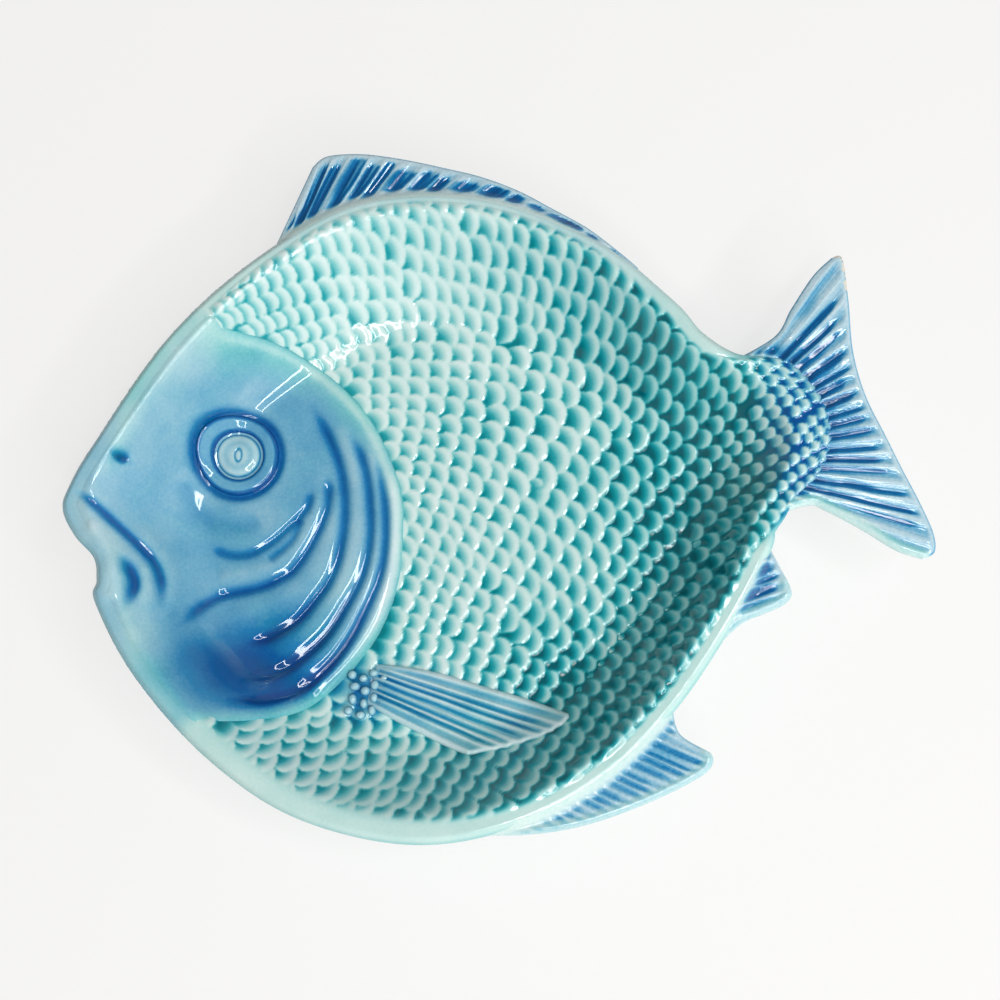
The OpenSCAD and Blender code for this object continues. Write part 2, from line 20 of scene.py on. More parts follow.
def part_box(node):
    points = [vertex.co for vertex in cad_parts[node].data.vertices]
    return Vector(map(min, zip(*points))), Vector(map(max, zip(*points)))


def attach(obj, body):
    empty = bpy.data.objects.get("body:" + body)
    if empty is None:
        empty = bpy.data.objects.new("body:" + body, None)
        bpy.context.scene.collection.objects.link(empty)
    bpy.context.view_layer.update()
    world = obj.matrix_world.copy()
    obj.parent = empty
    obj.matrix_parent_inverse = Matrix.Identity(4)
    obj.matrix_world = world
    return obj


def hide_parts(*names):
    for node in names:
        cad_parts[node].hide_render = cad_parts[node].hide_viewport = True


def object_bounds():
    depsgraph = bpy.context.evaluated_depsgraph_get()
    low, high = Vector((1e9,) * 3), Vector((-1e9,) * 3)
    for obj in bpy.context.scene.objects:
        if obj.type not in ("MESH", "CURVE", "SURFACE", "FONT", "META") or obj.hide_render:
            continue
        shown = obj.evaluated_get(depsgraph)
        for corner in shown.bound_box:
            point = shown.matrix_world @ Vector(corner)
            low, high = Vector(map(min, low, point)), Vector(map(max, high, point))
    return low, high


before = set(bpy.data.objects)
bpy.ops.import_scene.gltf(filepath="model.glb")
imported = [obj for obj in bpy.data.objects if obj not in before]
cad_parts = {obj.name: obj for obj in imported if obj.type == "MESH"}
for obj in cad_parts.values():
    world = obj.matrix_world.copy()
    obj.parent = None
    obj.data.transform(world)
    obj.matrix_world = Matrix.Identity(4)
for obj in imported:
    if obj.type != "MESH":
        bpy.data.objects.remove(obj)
CAD_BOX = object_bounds()

MM = 0.001
TURN = 2 * math.pi
BODY = "root"
Array = np.ndarray
Pair = tuple[Array, Array]
Object = bpy.types.Object
Place = tuple[float, float]
Size = tuple[int, int]
Colour = tuple[float, float, float, float]
Stops = tuple[tuple[float, Colour], ...]
Socket = bpy.types.NodeSocket
Input = Socket | Colour | float
log = logging.getLogger("platter")


# Small helpers for numbers and lines


def between(a: Array | float, b: Array | float, share: Array | float) -> Array | float:
    """Value at a share of the way from a to b."""
    return a + (b - a) * share


def ease(value: Array | float, low: float = 0.0, high: float = 1.0) -> Array:
    """Smooth step of a value: 0 up to low, 1 from high on."""
    share = np.clip((np.asarray(value, float) - low) / (high - low), 0.0, 1.0)
    return share * share * (3 - 2 * share)


def soft_least(a: Array, b: Array, reach: float) -> Array:
    """The smaller of two heights, rounded where they cross.

    Args:
        a: First heights.
        b: Second heights.
        reach: Difference within which the two are blended.

    Returns:
        The blended heights.
    """
    share = np.clip(0.5 + 0.5 * (b - a) / reach, 0.0, 1.0)
    return between(b, a, share) - reach * share * (1 - share)


def hump(share: Array, end: float) -> Array:
    """Rise and fall over a stretch whose two ends are left out by a share of it."""
    return np.sin(math.pi * np.clip(between(end, 1 - end, share), 0.0, 1.0))


def smooth_line(points: Array, closed: bool, steps: int) -> Array:
    """Runs a smooth curve through points.

    Args:
        points: Places that the curve passes through, one per row.
        closed: Whether the curve ends where it starts.
        steps: Computed points in each stretch.

    Returns:
        The points of the curve, one per row.
    """
    count = len(points)
    stretches = count if closed else count - 1

    def place(index: int) -> Array:
        """Point of an index, wrapped round or held at the ends."""
        return points[index % count] if closed else points[min(max(index, 0), count - 1)]

    share = (np.arange(steps) / steps)[:, None]
    parts = []
    for i in range(stretches):
        a, b, c, d = place(i - 1), place(i), place(i + 1), place(i + 2)
        parts.append(
            (2 * b + (c - a) * share + (2 * a - 5 * b + 4 * c - d) * share**2
             + (3 * b - a - 3 * c + d) * share**3) / 2
        )
    if not closed:
        parts.append(points[-1:])
    return np.concatenate(parts)


def along(line: Array, share: Array) -> Array:
    """Places at shares of an open line, counted in its points.

    Args:
        line: Points of the line, one per row.
        share: Shares of the line, from 0 to 1.

    Returns:
        One place per share.
    """
    place = np.clip(share, 0.0, 1.0) * (len(line) - 1)
    index = np.minimum(place.astype(int), len(line) - 2)
    return between(line[index], line[index + 1], (place - index)[..., None])


def wrapped(angle: Array) -> Array:
    """The same directions, from minus half a turn to half a turn."""
    return np.mod(angle + math.pi, TURN) - math.pi


def rounding(share: Array) -> Array:
    """Height of a rounded edge: 0 at its border, and 1 where it meets the face."""
    return np.sqrt(np.clip(1 - (1 - share) ** 2, 0, 1))


def bell(distance: Array, width: Array | float) -> Array:
    """Fall from 1 at no distance to almost 0 at two widths."""
    return np.exp(-((distance / width) ** 2))


def crowded(share: Array) -> Array:
    """Moves shares closer together towards both ends, where an edge is rounded."""
    return between(share, 0.5 - 0.5 * np.cos(math.pi * share), 0.7)


def glazed(pool: Array | float, blue: Array | float, bare: Array | float = 0.0) -> Array:
    """Glaze of points: how deep it pools, with painted shade added in places, how blue it is, and how bare
    the clay.
    """
    return np.stack(np.broadcast_arrays(pool, blue, bare), -1)


def evened(line: Array, count: int = 600) -> Array:
    """The same open line with its points at even distances.

    Args:
        line: Points of the line, one per row.
        count: Points of the new line.

    Returns:
        The new points.
    """
    run = np.concatenate([[0], np.cumsum(np.hypot(*np.diff(line, axis=0).T))])
    wanted = np.linspace(0, run[-1], count)
    return np.stack([np.interp(wanted, run, line[:, k]) for k in (0, 1)], -1)


def line_distance(x: Array, y: Array, line: Array) -> Pair:
    """Distance of places from a line, and where along it the nearest point lies.

    Args:
        x: Along the dish.
        y: Across the dish.
        line: Points of the line, one per row.

    Returns:
        The distances, and the shares of the line's stretches.
    """
    best = np.full(x.shape, np.inf)
    where = np.zeros(x.shape)
    stretches = len(line) - 1
    for i in range(stretches):
        run = line[i + 1] - line[i]
        share = ((x - line[i, 0]) * run[0] + (y - line[i, 1]) * run[1]) / max(run @ run, 1e-18)
        share = np.clip(share, 0.0, 1.0)
        gap = (x - line[i, 0] - share * run[0]) ** 2 + (y - line[i, 1] - share * run[1]) ** 2
        nearer = gap < best
        best = np.where(nearer, gap, best)
        where = np.where(nearer, (i + share) / stretches, where)
    return np.sqrt(best), where


def inside_outline(x: Array, y: Array, outline: Array) -> Array:
    """Whether places lie inside a closed outline.

    Args:
        x: Along the dish.
        y: Across the dish.
        outline: Points of the outline, one per row.

    Returns:
        True for the places inside.
    """
    inside = np.zeros(x.shape, bool)
    for (ax, ay), (bx, by) in zip(outline, np.roll(outline, -1, axis=0)):
        if ay != by:
            crosses = (ay > y) != (by > y)
            inside ^= crosses & (x < ax + (y - ay) * (bx - ax) / (by - ay))
    return inside


# The form of the dish


class Region(Enum):
    """Stretches of the scaled skin."""

    FLANK = "flank_scales"
    NAPE = "nape_scales"
    THROAT = "throat_scales"


@dataclass(frozen=True)
class PolarLine:
    """A closed line round the middle of the dish, kept as its distance in each direction."""

    angles: Array
    reaches: Array

    @classmethod
    def of(cls, line: Array, middle: Array) -> "PolarLine":
        """Lists a line's points by their direction from the middle.

        Args:
            line: Points of the line, one per row.
            middle: Place from which the directions are taken.

        Returns:
            The line.
        """
        away = line - middle
        angles = np.arctan2(away[:, 1], away[:, 0])
        order = np.argsort(angles)
        return cls(angles[order], np.hypot(*away.T)[order])

    def at(self, angle: Array) -> Array:
        """Distance of the line in a direction."""
        return np.interp(angle, self.angles, self.reaches, period=TURN)

    def softened(self, spread: float, count: int = 1440) -> "PolarLine":
        """The same line with its corners smoothed away.

        Args:
            spread: Turn over which it is smoothed, in radians.
            count: Directions in which it is worked out.

        Returns:
            The softened line.
        """
        angles = np.linspace(-math.pi, math.pi, count, endpoint=False)
        turn = np.minimum(np.arange(count), count - np.arange(count)) * TURN / count
        weight = np.exp(-0.5 * (turn / spread) ** 2)
        mixed = np.fft.irfft(np.fft.rfft(self.at(angles)) * np.fft.rfft(weight / weight.sum()), count)
        return PolarLine(angles, mixed)


@dataclass
class DishForm:
    """Outline, wall and rim of the dish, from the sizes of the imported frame."""

    length: float = 2 * abs(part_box("bowl")[0].x)
    width: float = 2 * abs(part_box("belly_fin")[0].y)
    rim_height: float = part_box("bowl")[1].z
    foot_height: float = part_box("bowl")[0].z
    wall: float = 5.5 * MM
    wall_inset: float = 10 * MM
    wall_top: float = 43.8 * MM
    crown_inset: float = 2.7 * MM
    rim_drop: float = 3 * MM
    rim_side: float = 3 * MM
    rim_lean: float = 0.1
    rim_blend: float = 2.6 * MM
    fin_level: float = 44 * MM
    tail_span: Place = (-0.125, 0.28)
    tail_fade: float = 0.15
    skin_inset: float = 3.0 * MM
    tail_inset: float = -2.5 * MM
    true_band: Place = (12 * MM, 16 * MM)
    true_search: int = 90
    middle_share: Place = (-0.053, -0.036)
    edge_shares: tuple[Place, ...] = (
        (-0.5, 0.013), (-0.487, -0.026), (-0.466, -0.06), (-0.464, -0.093), (-0.467, -0.124),
        (-0.426, -0.232), (-0.349, -0.353), (-0.252, -0.446), (-0.126, -0.497), (-0.009, -0.489),
        (0.101, -0.436), (0.189, -0.35), (0.268, -0.236), (0.314, -0.152), (0.324, -0.116),
        (0.341, -0.08), (0.371, -0.051), (0.391, -0.007), (0.391, 0.041), (0.374, 0.085),
        (0.344, 0.121), (0.304, 0.133), (0.268, 0.169), (0.238, 0.222), (0.154, 0.326),
        (0.028, 0.406), (-0.116, 0.422), (-0.239, 0.362), (-0.359, 0.254), (-0.459, 0.105),
        (-0.492, 0.045),
    )
    floor_shares: tuple[Place, ...] = (
        (-0.347, -0.032), (-0.327, -0.112), (-0.28, -0.201), (-0.2, -0.289), (-0.12, -0.329),
        (-0.027, -0.321), (0.067, -0.281), (0.153, -0.201), (0.207, -0.12), (0.23, -0.024),
        (0.167, 0.08), (0.093, 0.169), (0.007, 0.229), (-0.093, 0.249), (-0.267, 0.153),
        (-0.327, 0.072),
    )
    gill_shares: tuple[Place, ...] = (
        (-0.352, -0.305), (-0.3, -0.305), (-0.255, -0.295), (-0.22, -0.27), (-0.183, -0.233),
        (-0.15, -0.185), (-0.123, -0.116), (-0.113, -0.048), (-0.11, 0.008), (-0.12, 0.064),
        (-0.14, 0.128), (-0.17, 0.181), (-0.2, 0.217), (-0.23, 0.241), (-0.262, 0.254),
        (-0.295, 0.258),
    )

    def __post_init__(self) -> None:
        """Works out the lines that all regions share."""
        self.middle = self.sized(self.middle_share)
        self.floor_level = self.foot_height + self.wall
        self.edge_line = smooth_line(self.sized(self.edge_shares), True, 100)
        self.floor_line = smooth_line(self.sized(self.floor_shares), True, 24)
        self.gill_line = smooth_line(self.sized(self.gill_shares), False, 12)
        self.edge = PolarLine.of(self.edge_line, self.middle)
        self.soft_edge = self.edge.softened(0.07)
        self.floor = PolarLine.of(self.floor_line, self.middle).softened(0.06)
        order = np.argsort(np.arctan2(*(self.edge_line - self.middle).T[::-1]))
        self.sorted_edge = self.edge_line[order]

    def sized(self, shares: Array | tuple) -> Array:
        """Turns shares of the dish's length and width into places."""
        return np.asarray(shares, float) * (self.length, self.width)

    def polar(self, x: Array, y: Array) -> Pair:
        """Direction and distance of places from the middle."""
        away_x, away_y = x - self.middle[0], y - self.middle[1]
        return np.arctan2(away_y, away_x), np.hypot(away_x, away_y)

    def bearing(self, place: Array) -> float:
        """Direction of one place from the middle."""
        return math.atan2(*(place - self.middle)[::-1])

    def placed(self, angle: Array, reach: Array) -> Array:
        """Places in a direction and at a distance from the middle."""
        return self.middle + reach[..., None] * np.stack([np.cos(angle), np.sin(angle)], -1)

    def inside_edge(self, angle: Array, inset: Array | float) -> Array:
        """Places in a direction from the middle, at a distance inside the outer edge."""
        return self.placed(angle, self.edge.at(angle) - inset)

    def edge_distance(self, x: Array, y: Array) -> Array:
        """Distance of places inside the outer edge, along the shortest way near the rim.

        Args:
            x: Along the dish.
            y: Across the dish.

        Returns:
            The distances, negative outside the edge.
        """
        angle, reach = self.polar(x, y)
        result = self.edge.at(angle) - reach
        near = np.abs(result) < self.true_band[1]
        nx, ny = x[near], y[near]
        index = np.searchsorted(self.edge.angles, angle[near])
        best = np.full(nx.shape, np.inf)
        for shift in range(-self.true_search, self.true_search + 1):
            px, py = self.sorted_edge[(index + shift) % len(self.sorted_edge)].T
            best = np.minimum(best, (nx - px) ** 2 + (ny - py) ** 2)
        far = ease(np.abs(result[near]), *self.true_band)
        result[near] = between(np.sign(result[near]) * np.sqrt(best), result[near], far)
        return result

    def tail_share(self, angle: Array) -> Array:
        """1 in the directions of the tail's root, where the rim has no crown, and 0 elsewhere."""
        low, high = self.tail_span
        return ease(angle, low - self.tail_fade, low) * (1 - ease(angle, high, high + self.tail_fade))

    def skin_border(self, angle: Array) -> Array:
        """Distance inside the edge at which the laid-on skins end."""
        return between(self.skin_inset, self.tail_inset, self.tail_share(angle))

    def wall_height(self, angle: Array, reach: Array) -> Array:
        """Height of the inner wall, run on straight above its top.

        Args:
            angle: Directions from the middle.
            reach: Distances from the middle.

        Returns:
            The heights.
        """
        foot = self.floor.at(angle)
        share = (reach - foot) / (self.soft_edge.at(angle) - self.wall_inset - foot)
        low = np.clip(share, 0.0, 1.0)
        climb = low * low * (3 - low) / 2 + 1.5 * np.maximum(share - 1, 0)
        return self.floor_level + (self.wall_top - self.floor_level) * climb

    def height(self, x: Array, y: Array) -> Array:
        """Height of the plain inner face, from the floor over the wall to the rim.

        Args:
            x: Along the dish.
            y: Across the dish.

        Returns:
            The heights.
        """
        angle, reach = self.polar(x, y)
        inset = self.edge_distance(x, y)
        low = np.maximum(self.crown_inset - inset, 0) / self.crown_inset
        crown = (self.rim_height - 0.1 * MM - self.rim_drop * low**2
                 - self.rim_lean * np.maximum(inset - self.crown_inset, 0))
        crown = between(crown, self.fin_level + 0.3 * MM, self.tail_share(angle))
        return soft_least(self.wall_height(angle, reach), crown, self.rim_blend)


@dataclass(frozen=True)
class Raster:
    """A square grid over the dish whose values are read back smoothly between its points."""

    low: Place
    high: Place
    step: float

    def axes(self) -> Pair:
        """Coordinates of the grid's columns and rows."""
        return (np.arange(self.low[0], self.high[0], self.step),
                np.arange(self.low[1], self.high[1], self.step))

    def grid(self) -> Pair:
        """Coordinates of every point of the grid."""
        return np.meshgrid(*self.axes())

    def read(self, values: Array, x: Array, y: Array) -> Array:
        """Reads values between the grid's points with a smooth curve both ways.

        Args:
            values: One value for each point of the grid.
            x: Along the dish.
            y: Across the dish.

        Returns:
            One value per place.
        """
        rows, columns = values.shape
        column = np.clip((x - self.low[0]) / self.step, 1, columns - 3.001)
        row = np.clip((y - self.low[1]) / self.step, 1, rows - 3.001)
        i, j = column.astype(int), row.astype(int)
        result = np.zeros(np.shape(x))
        for k, across in enumerate(self._weights(row - j)):
            for m, beside in enumerate(self._weights(column - i)):
                result += across * beside * values[j + k - 1, i + m - 1]
        return result

    @staticmethod
    def _weights(share: Array) -> tuple[Array, Array, Array, Array]:
        """Weights of the four nearest points of a smooth curve.

        Args:
            share: Shares of the way between the inner two points.

        Returns:
            The four weights.
        """
        t, t2, t3 = share, share**2, share**3
        return (-0.5 * t + t2 - 0.5 * t3, 1 - 2.5 * t2 + 1.5 * t3,
                0.5 * t + 2 * t2 - 1.5 * t3, -0.5 * t2 + 0.5 * t3)

    def blurred(self, values: Array, spread: float) -> Array:
        """Values smoothed over a distance.

        Args:
            values: One value for each point of the grid.
            spread: Distance over which they are smoothed.

        Returns:
            The smoothed values.
        """
        cells = max(spread / self.step, 1e-3)
        taps = int(math.ceil(3 * cells))
        weights = np.exp(-0.5 * (np.arange(-taps, taps + 1) / cells) ** 2)
        weights /= weights.sum()
        for axis in (0, 1):
            pad = [(0, 0), (0, 0)]
            pad[axis] = (taps, taps)
            padded = np.pad(values, pad, mode="edge")
            size = values.shape[axis]
            values = sum(w * np.take(padded, range(k, k + size), axis=axis) for k, w in enumerate(weights))
        return values


# The scaled skin


@dataclass(frozen=True)
class ScaleMark:
    """How the scales lie at one place: the potter's marking-out of the skin, and how deep the glaze lies
    there, with painted shade added towards the right wall.
    """

    place: Place
    turn: float
    along: float
    across: float
    facing: float
    drop: float
    # The last setting is how deep the glaze pools, raised on the right and lower right wall as painted shade.
    pool_and_shade: float


@dataclass
class ScaleRelief:
    """Heights and glaze of the overlapping scales over the whole dish, the glaze darkened towards the right
    wall as painted shade.
    """

    form: DishForm
    raster: Raster
    step_height: float = 1.15 * MM
    mark_reach: float = 15 * MM
    room: float = 0.72
    crowding: float = 0.72
    most: int = 2500
    easing: tuple[int, ...] = (12, 7, 5)
    top_band: float = 2.8 * MM
    side_band: float = 4.4 * MM
    low_band: float = 7.2 * MM
    start: Place = (0.09, 0.0)
    beyond_head: tuple[Place, ...] = ((-0.6, 0.3), (-0.6, -0.34))
    richness: float = 1.55
    seed: int = 7
    # Each row: place, turn, spacing along and across, facing, drop, and glaze depth, which carries painted
    # shade towards the right wall.
    marks: tuple[ScaleMark, ...] = tuple(ScaleMark(*row) for row in (
        ((-0.25, 0.289), 30, 4.4, 4.4, 25, 0.3, 0.42),
        ((-0.287, 0.265), 30, 4.2, 4.2, 25, 0.3, 0.40),
        ((-0.173, 0.317), 3, 5.7, 5.9, 30, 0.0, 0.42),
        ((-0.057, 0.373), -33, 5.6, 5.6, 15, 0.0, 0.50),
        ((0.0, 0.305), -26, 6.3, 6.1, 5, 0.0, 0.52),
        ((-0.047, 0.265), -3, 7.5, 7.1, 25, 0.0, 0.46),
        ((-0.087, 0.2), -3, 7.3, 6.2, 25, 0.0, 0.48),
        ((0.023, 0.169), -12, 7.6, 6.4, 15, 0.0, 0.52),
        ((0.09, 0.096), -28, 9.0, 8.0, 5, 0.0, 0.62),
        ((0.123, 0.032), -35, 9.4, 8.7, 0, 0.0, 0.68),
        ((0.083, 0.281), -30, 6.5, 6.2, 0, 0.0, 0.66),
        ((0.2, 0.225), -38, 7.3, 6.9, -8, 0.2, 0.84),
        ((-0.083, -0.092), -30, 6.9, 5.9, 8, 0.0, 0.55),
        ((-0.085, 0.04), -14, 6.2, 5.6, 15, 0.1, 0.50),
        ((0.11, -0.116), -48, 9.0, 8.3, -5, 0.0, 0.72),
        ((0.007, -0.044), -35, 8.0, 6.9, 5, 0.0, 0.62),
        ((0.19, -0.036), -45, 8.3, 7.6, -5, 0.6, 0.97),
        ((0.237, 0.072), -50, 6.9, 6.9, -5, 0.6, 0.95),
        ((0.233, -0.1), -45, 6.2, 6.2, 0, 0.8, 0.92),
        ((0.127, -0.325), -45, 5.8, 5.8, -5, 0.7, 0.86),
        ((0.21, -0.193), -45, 5.8, 5.8, 0, 0.8, 0.88),
        ((-0.057, -0.446), -35, 6.2, 6.2, -40, 0.2, 0.72),
        ((-0.203, -0.386), 0, 7.6, 5.4, -50, 0.1, 0.62),
        ((-0.28, -0.349), 0, 6.6, 5.0, -50, 0.1, 0.55),
        ((0.227, 0.133), -68, 6.6, 5.9, 0, 0.5, 0.85),
        ((0.327, 0.044), -62, 4.7, 4.7, 0, 0.9, 0.62),
        ((0.363, 0.0), -62, 4.0, 4.0, 0, 1.0, 0.48),
        ((-0.117, -0.205), -20, 6.9, 6.2, -10, 0.0, 0.58),
        ((0.047, -0.458), -35, 6.6, 6.6, -25, 0.3, 0.80),
    ))

    def __post_init__(self) -> None:
        """Marks out the rows and presses every scale."""
        x, y = self.raster.grid()
        inset = self.form.edge_distance(x, y)
        gill = np.concatenate([self.form.gill_line, self.form.sized(self.beyond_head)])
        angle, _ = self.form.polar(x, y)
        tail = self.form.tail_share(angle)
        self.skin = (inset > between(1.5 * MM, -3 * MM, tail)) & ~inside_outline(x, y, gill)
        self.settings = self._settings(x, y)
        self.settings["pool_and_shade"] = self.raster.blurred(self.settings["pool_and_shade"], 7 * MM)
        heights, behind = self._stamped(x, y)
        fine, coarse = (self.raster.blurred(heights, spread * MM) for spread in (0.3, 0.75))
        covered = between(fine, coarse, 0.3)
        lower = ease(-angle, 1.3, 1.9) * (1 - ease(-angle, 2.7, 3.0))
        upper = ease(angle, 0.5, 0.9) * (1 - ease(angle, 2.2, 2.6))
        band = between(between(self.side_band, self.top_band, upper), self.low_band, lower)
        band = between(band, -2.6 * MM, tail)
        self.shown = ease(inset - band, 0.0, between(3.6 * MM, 2.2 * MM, tail))
        self.height = covered * self.shown
        # The glaze depth of the marks is partly painted shade: it grows towards the right wall, which faces
        # away from the window.
        pool_and_shade = self.settings["pool_and_shade"]
        pale, deep = between(0.45, 0.16, pool_and_shade), between(1.35, 0.95, pool_and_shade)
        depth = np.clip((behind - pale) / (deep - pale), 0, 1)
        low = 1 - covered / self.step_height
        depth = np.clip(0.8 * depth + 0.45 * low * (1 - depth) * pool_and_shade + 0.2 * depth * low, 0, 1)
        top = 0.02 + 0.34 * np.maximum(pool_and_shade - 0.62, 0)
        self.pool = self.raster.blurred(between(top, self.richness * pool_and_shade, depth), 0.25 * MM)

    def _settings(self, x: Array, y: Array) -> dict[str, Array]:
        """Mixes the marks into smooth settings for places on the dish.

        Args:
            x: Along the dish.
            y: Across the dish.

        Returns:
            The settings by name.
        """
        names = ("turn", "along", "across", "facing", "drop", "pool_and_shade")
        total = np.zeros(x.shape)
        mixed = {name: np.zeros(x.shape) for name in names}
        for mark in self.marks:
            px, py = self.form.sized(mark.place)
            weight = np.exp(-((x - px) ** 2 + (y - py) ** 2) / (2 * self.mark_reach**2)) + 1e-12
            total += weight
            for name in names:
                mixed[name] += weight * getattr(mark, name)
        return {name: value / total for name, value in mixed.items()}

    def _at(self, values: Array, places: Array) -> Array:
        """Nearest values of the grid at places.

        Args:
            values: One value for each point of the grid.
            places: Places, one per row.

        Returns:
            One value per place.
        """
        column, row = (np.rint((places[:, k] - self.raster.low[k]) / self.raster.step).astype(int)
                       for k in (0, 1))
        rows, columns = values.shape
        return values[np.clip(row, 0, rows - 1), np.clip(column, 0, columns - 1)]

    def _steps(self, places: Array) -> Array:
        """Steps from places to their four neighbours in the marked directions.

        Args:
            places: Places of scales.

        Returns:
            Four steps for each place.
        """
        turn = np.radians(self._at(self.settings["turn"], places))
        first = np.stack([np.cos(turn), np.sin(turn)], -1)
        first *= self._at(self.settings["along"], places)[:, None] * MM
        second = np.stack([-np.sin(turn), np.cos(turn)], -1)
        second *= self._at(self.settings["across"], places)[:, None] * MM
        return np.stack([first, second, -first, -second], 1)

    def _spread(self, centres: Array) -> Array:
        """Adds neighbours to scales wherever there is room, until the dish is full.

        Args:
            centres: Places of the scales so far.

        Returns:
            Places of all scales.
        """
        known = np.full((self.most, 2), np.inf)
        known[:len(centres)] = centres
        done, count = 0, len(centres)
        while done < count:
            wave = known[done:count]
            done = count
            steps = self._steps(wave)
            halfway = self._steps((wave[:, None] + steps / 2).reshape(-1, 2)).reshape(-1, 4, 4, 2)
            steps = (steps + halfway[:, range(4), range(4)]) / 2
            sizes = np.repeat(np.hypot(*steps[:, :2].transpose(2, 0, 1)).min(1), 4)
            places = (wave[:, None] + steps).reshape(-1, 2)
            wanted = self._at(self.skin, places)
            for place, size in zip(places[wanted], sizes[wanted]):
                gaps = known[:count] - place
                if (gaps[:, 0] ** 2 + gaps[:, 1] ** 2).min() > (self.room * size) ** 2:
                    known[count] = place
                    count += 1
        return known[:count]

    def _settled(self, centres: Array, rounds: int) -> Array:
        """Eases scales towards their places among their neighbours.

        Args:
            centres: Places of the scales.
            rounds: How often they are eased.

        Returns:
            The eased places.
        """
        for _ in range(rounds):
            steps = self._steps(centres)
            pull = np.zeros(centres.shape)
            weight = np.full((len(centres), 1), 1e-9)
            for k in range(4):
                aim = centres + steps[:, k]
                gap = (aim[:, None, 0] - centres[None, :, 0]) ** 2
                gap += (aim[:, None, 1] - centres[None, :, 1]) ** 2
                nearest = gap.argmin(1)
                reach = np.hypot(*steps[:, k].T)
                close = (np.sqrt(gap.min(1)) < 0.48 * reach)[:, None]
                pull += close * (centres[nearest] - steps[:, k] - centres)
                weight += close
            centres = centres + 0.55 * pull / weight
        return centres

    def _thinned(self, centres: Array) -> Array:
        """Drops scales that crowd one another.

        Args:
            centres: Places of the scales.

        Returns:
            The places that stay.
        """
        row, column = (self._at(self.settings[name], centres) for name in ("along", "across"))
        sizes = np.sqrt(row * column)
        gaps = np.hypot(*(centres[:, None] - centres[None]).transpose(2, 0, 1))
        crowded = np.tril(gaps < self.crowding * MM * sizes[:, None], -1).any(1)
        return centres[~crowded]

    def _centres(self) -> Array:
        """Places of all scales, in rows that follow the marks and break where they must.

        Returns:
            The places, one per row.
        """
        centres = self.form.sized(self.start)[None]
        for rounds in self.easing:
            centres = self._thinned(self._settled(self._spread(centres), rounds))
        return centres

    def _stamped(self, x: Array, y: Array) -> Pair:
        """Presses one scale at each place.

        Args:
            x: Along the dish.
            y: Across the dish.

        Returns:
            The height of the highest scale at each place, and how far behind its free edge it lies.
        """
        chance = np.random.default_rng(self.seed)
        rows, columns = x.shape
        heights, behind = np.zeros(x.shape), np.full(x.shape, 1.2)
        for cx, cy in self._centres():
            jitter = chance.normal(size=6)
            i = int(round((cx - self.raster.low[0]) / self.raster.step))
            j = int(round((cy - self.raster.low[1]) / self.raster.step))
            if not (0 <= i < columns and 0 <= j < rows):
                continue
            local = {name: value[j, i] for name, value in self.settings.items()}
            size = math.sqrt(local["along"] * local["across"]) * MM
            cx += 0.035 * size * jitter[0]
            cy += 0.035 * size * jitter[1]
            facing = math.radians(local["facing"] + 6 * jitter[2])
            turned = abs(math.sin(2 * math.radians(local["facing"] - local["turn"])))
            drop = local["drop"]
            half = size * between(0.56, 0.77, turned) * (1 + 0.05 * jitter[3]) * between(1, 0.62, drop)
            front = size * between(0.56, 0.66, turned) * (1 + 0.06 * jitter[4]) * between(1, 0.66, drop)
            back = size * between(1.1, 0.42, drop)
            top = self.step_height * (1 + 0.08 * jitter[5]) * math.sqrt(size / (8 * MM))
            reach = int(1.3 * size / self.raster.step) + 1
            box = (slice(max(j - reach, 0), j + reach + 1), slice(max(i - reach, 0), i + reach + 1))
            u = (x[box] - cx) * math.cos(facing) + (y[box] - cy) * math.sin(facing)
            v = -(x[box] - cx) * math.sin(facing) + (y[box] - cy) * math.cos(facing)
            outline = (v / half) ** 2 + np.where(u > 0, (u / front) ** 2, (u / back) ** 4)
            body = np.clip(1 - outline**3, 0, 1) ** 0.5
            free = front * np.sqrt(np.clip(1 - (v / half) ** 2, 0, 1)) - u
            rise = between(1.0, 0.12, np.clip(free / (1.25 * size), 0, 1) ** 1.2)
            height = top * body * rise
            higher = height > heights[box]
            heights[box] = np.where(higher, height, heights[box])
            behind[box] = np.where(higher, free / size, behind[box])
        return heights, behind


# The carved head


@dataclass(frozen=True)
class CarvedLine:
    """A soft groove or ridge along a line, as shares of the dish's length and width."""

    places: tuple[Place, ...]
    rise: float
    half_width: float
    pool: float
    ends: float = 0.1


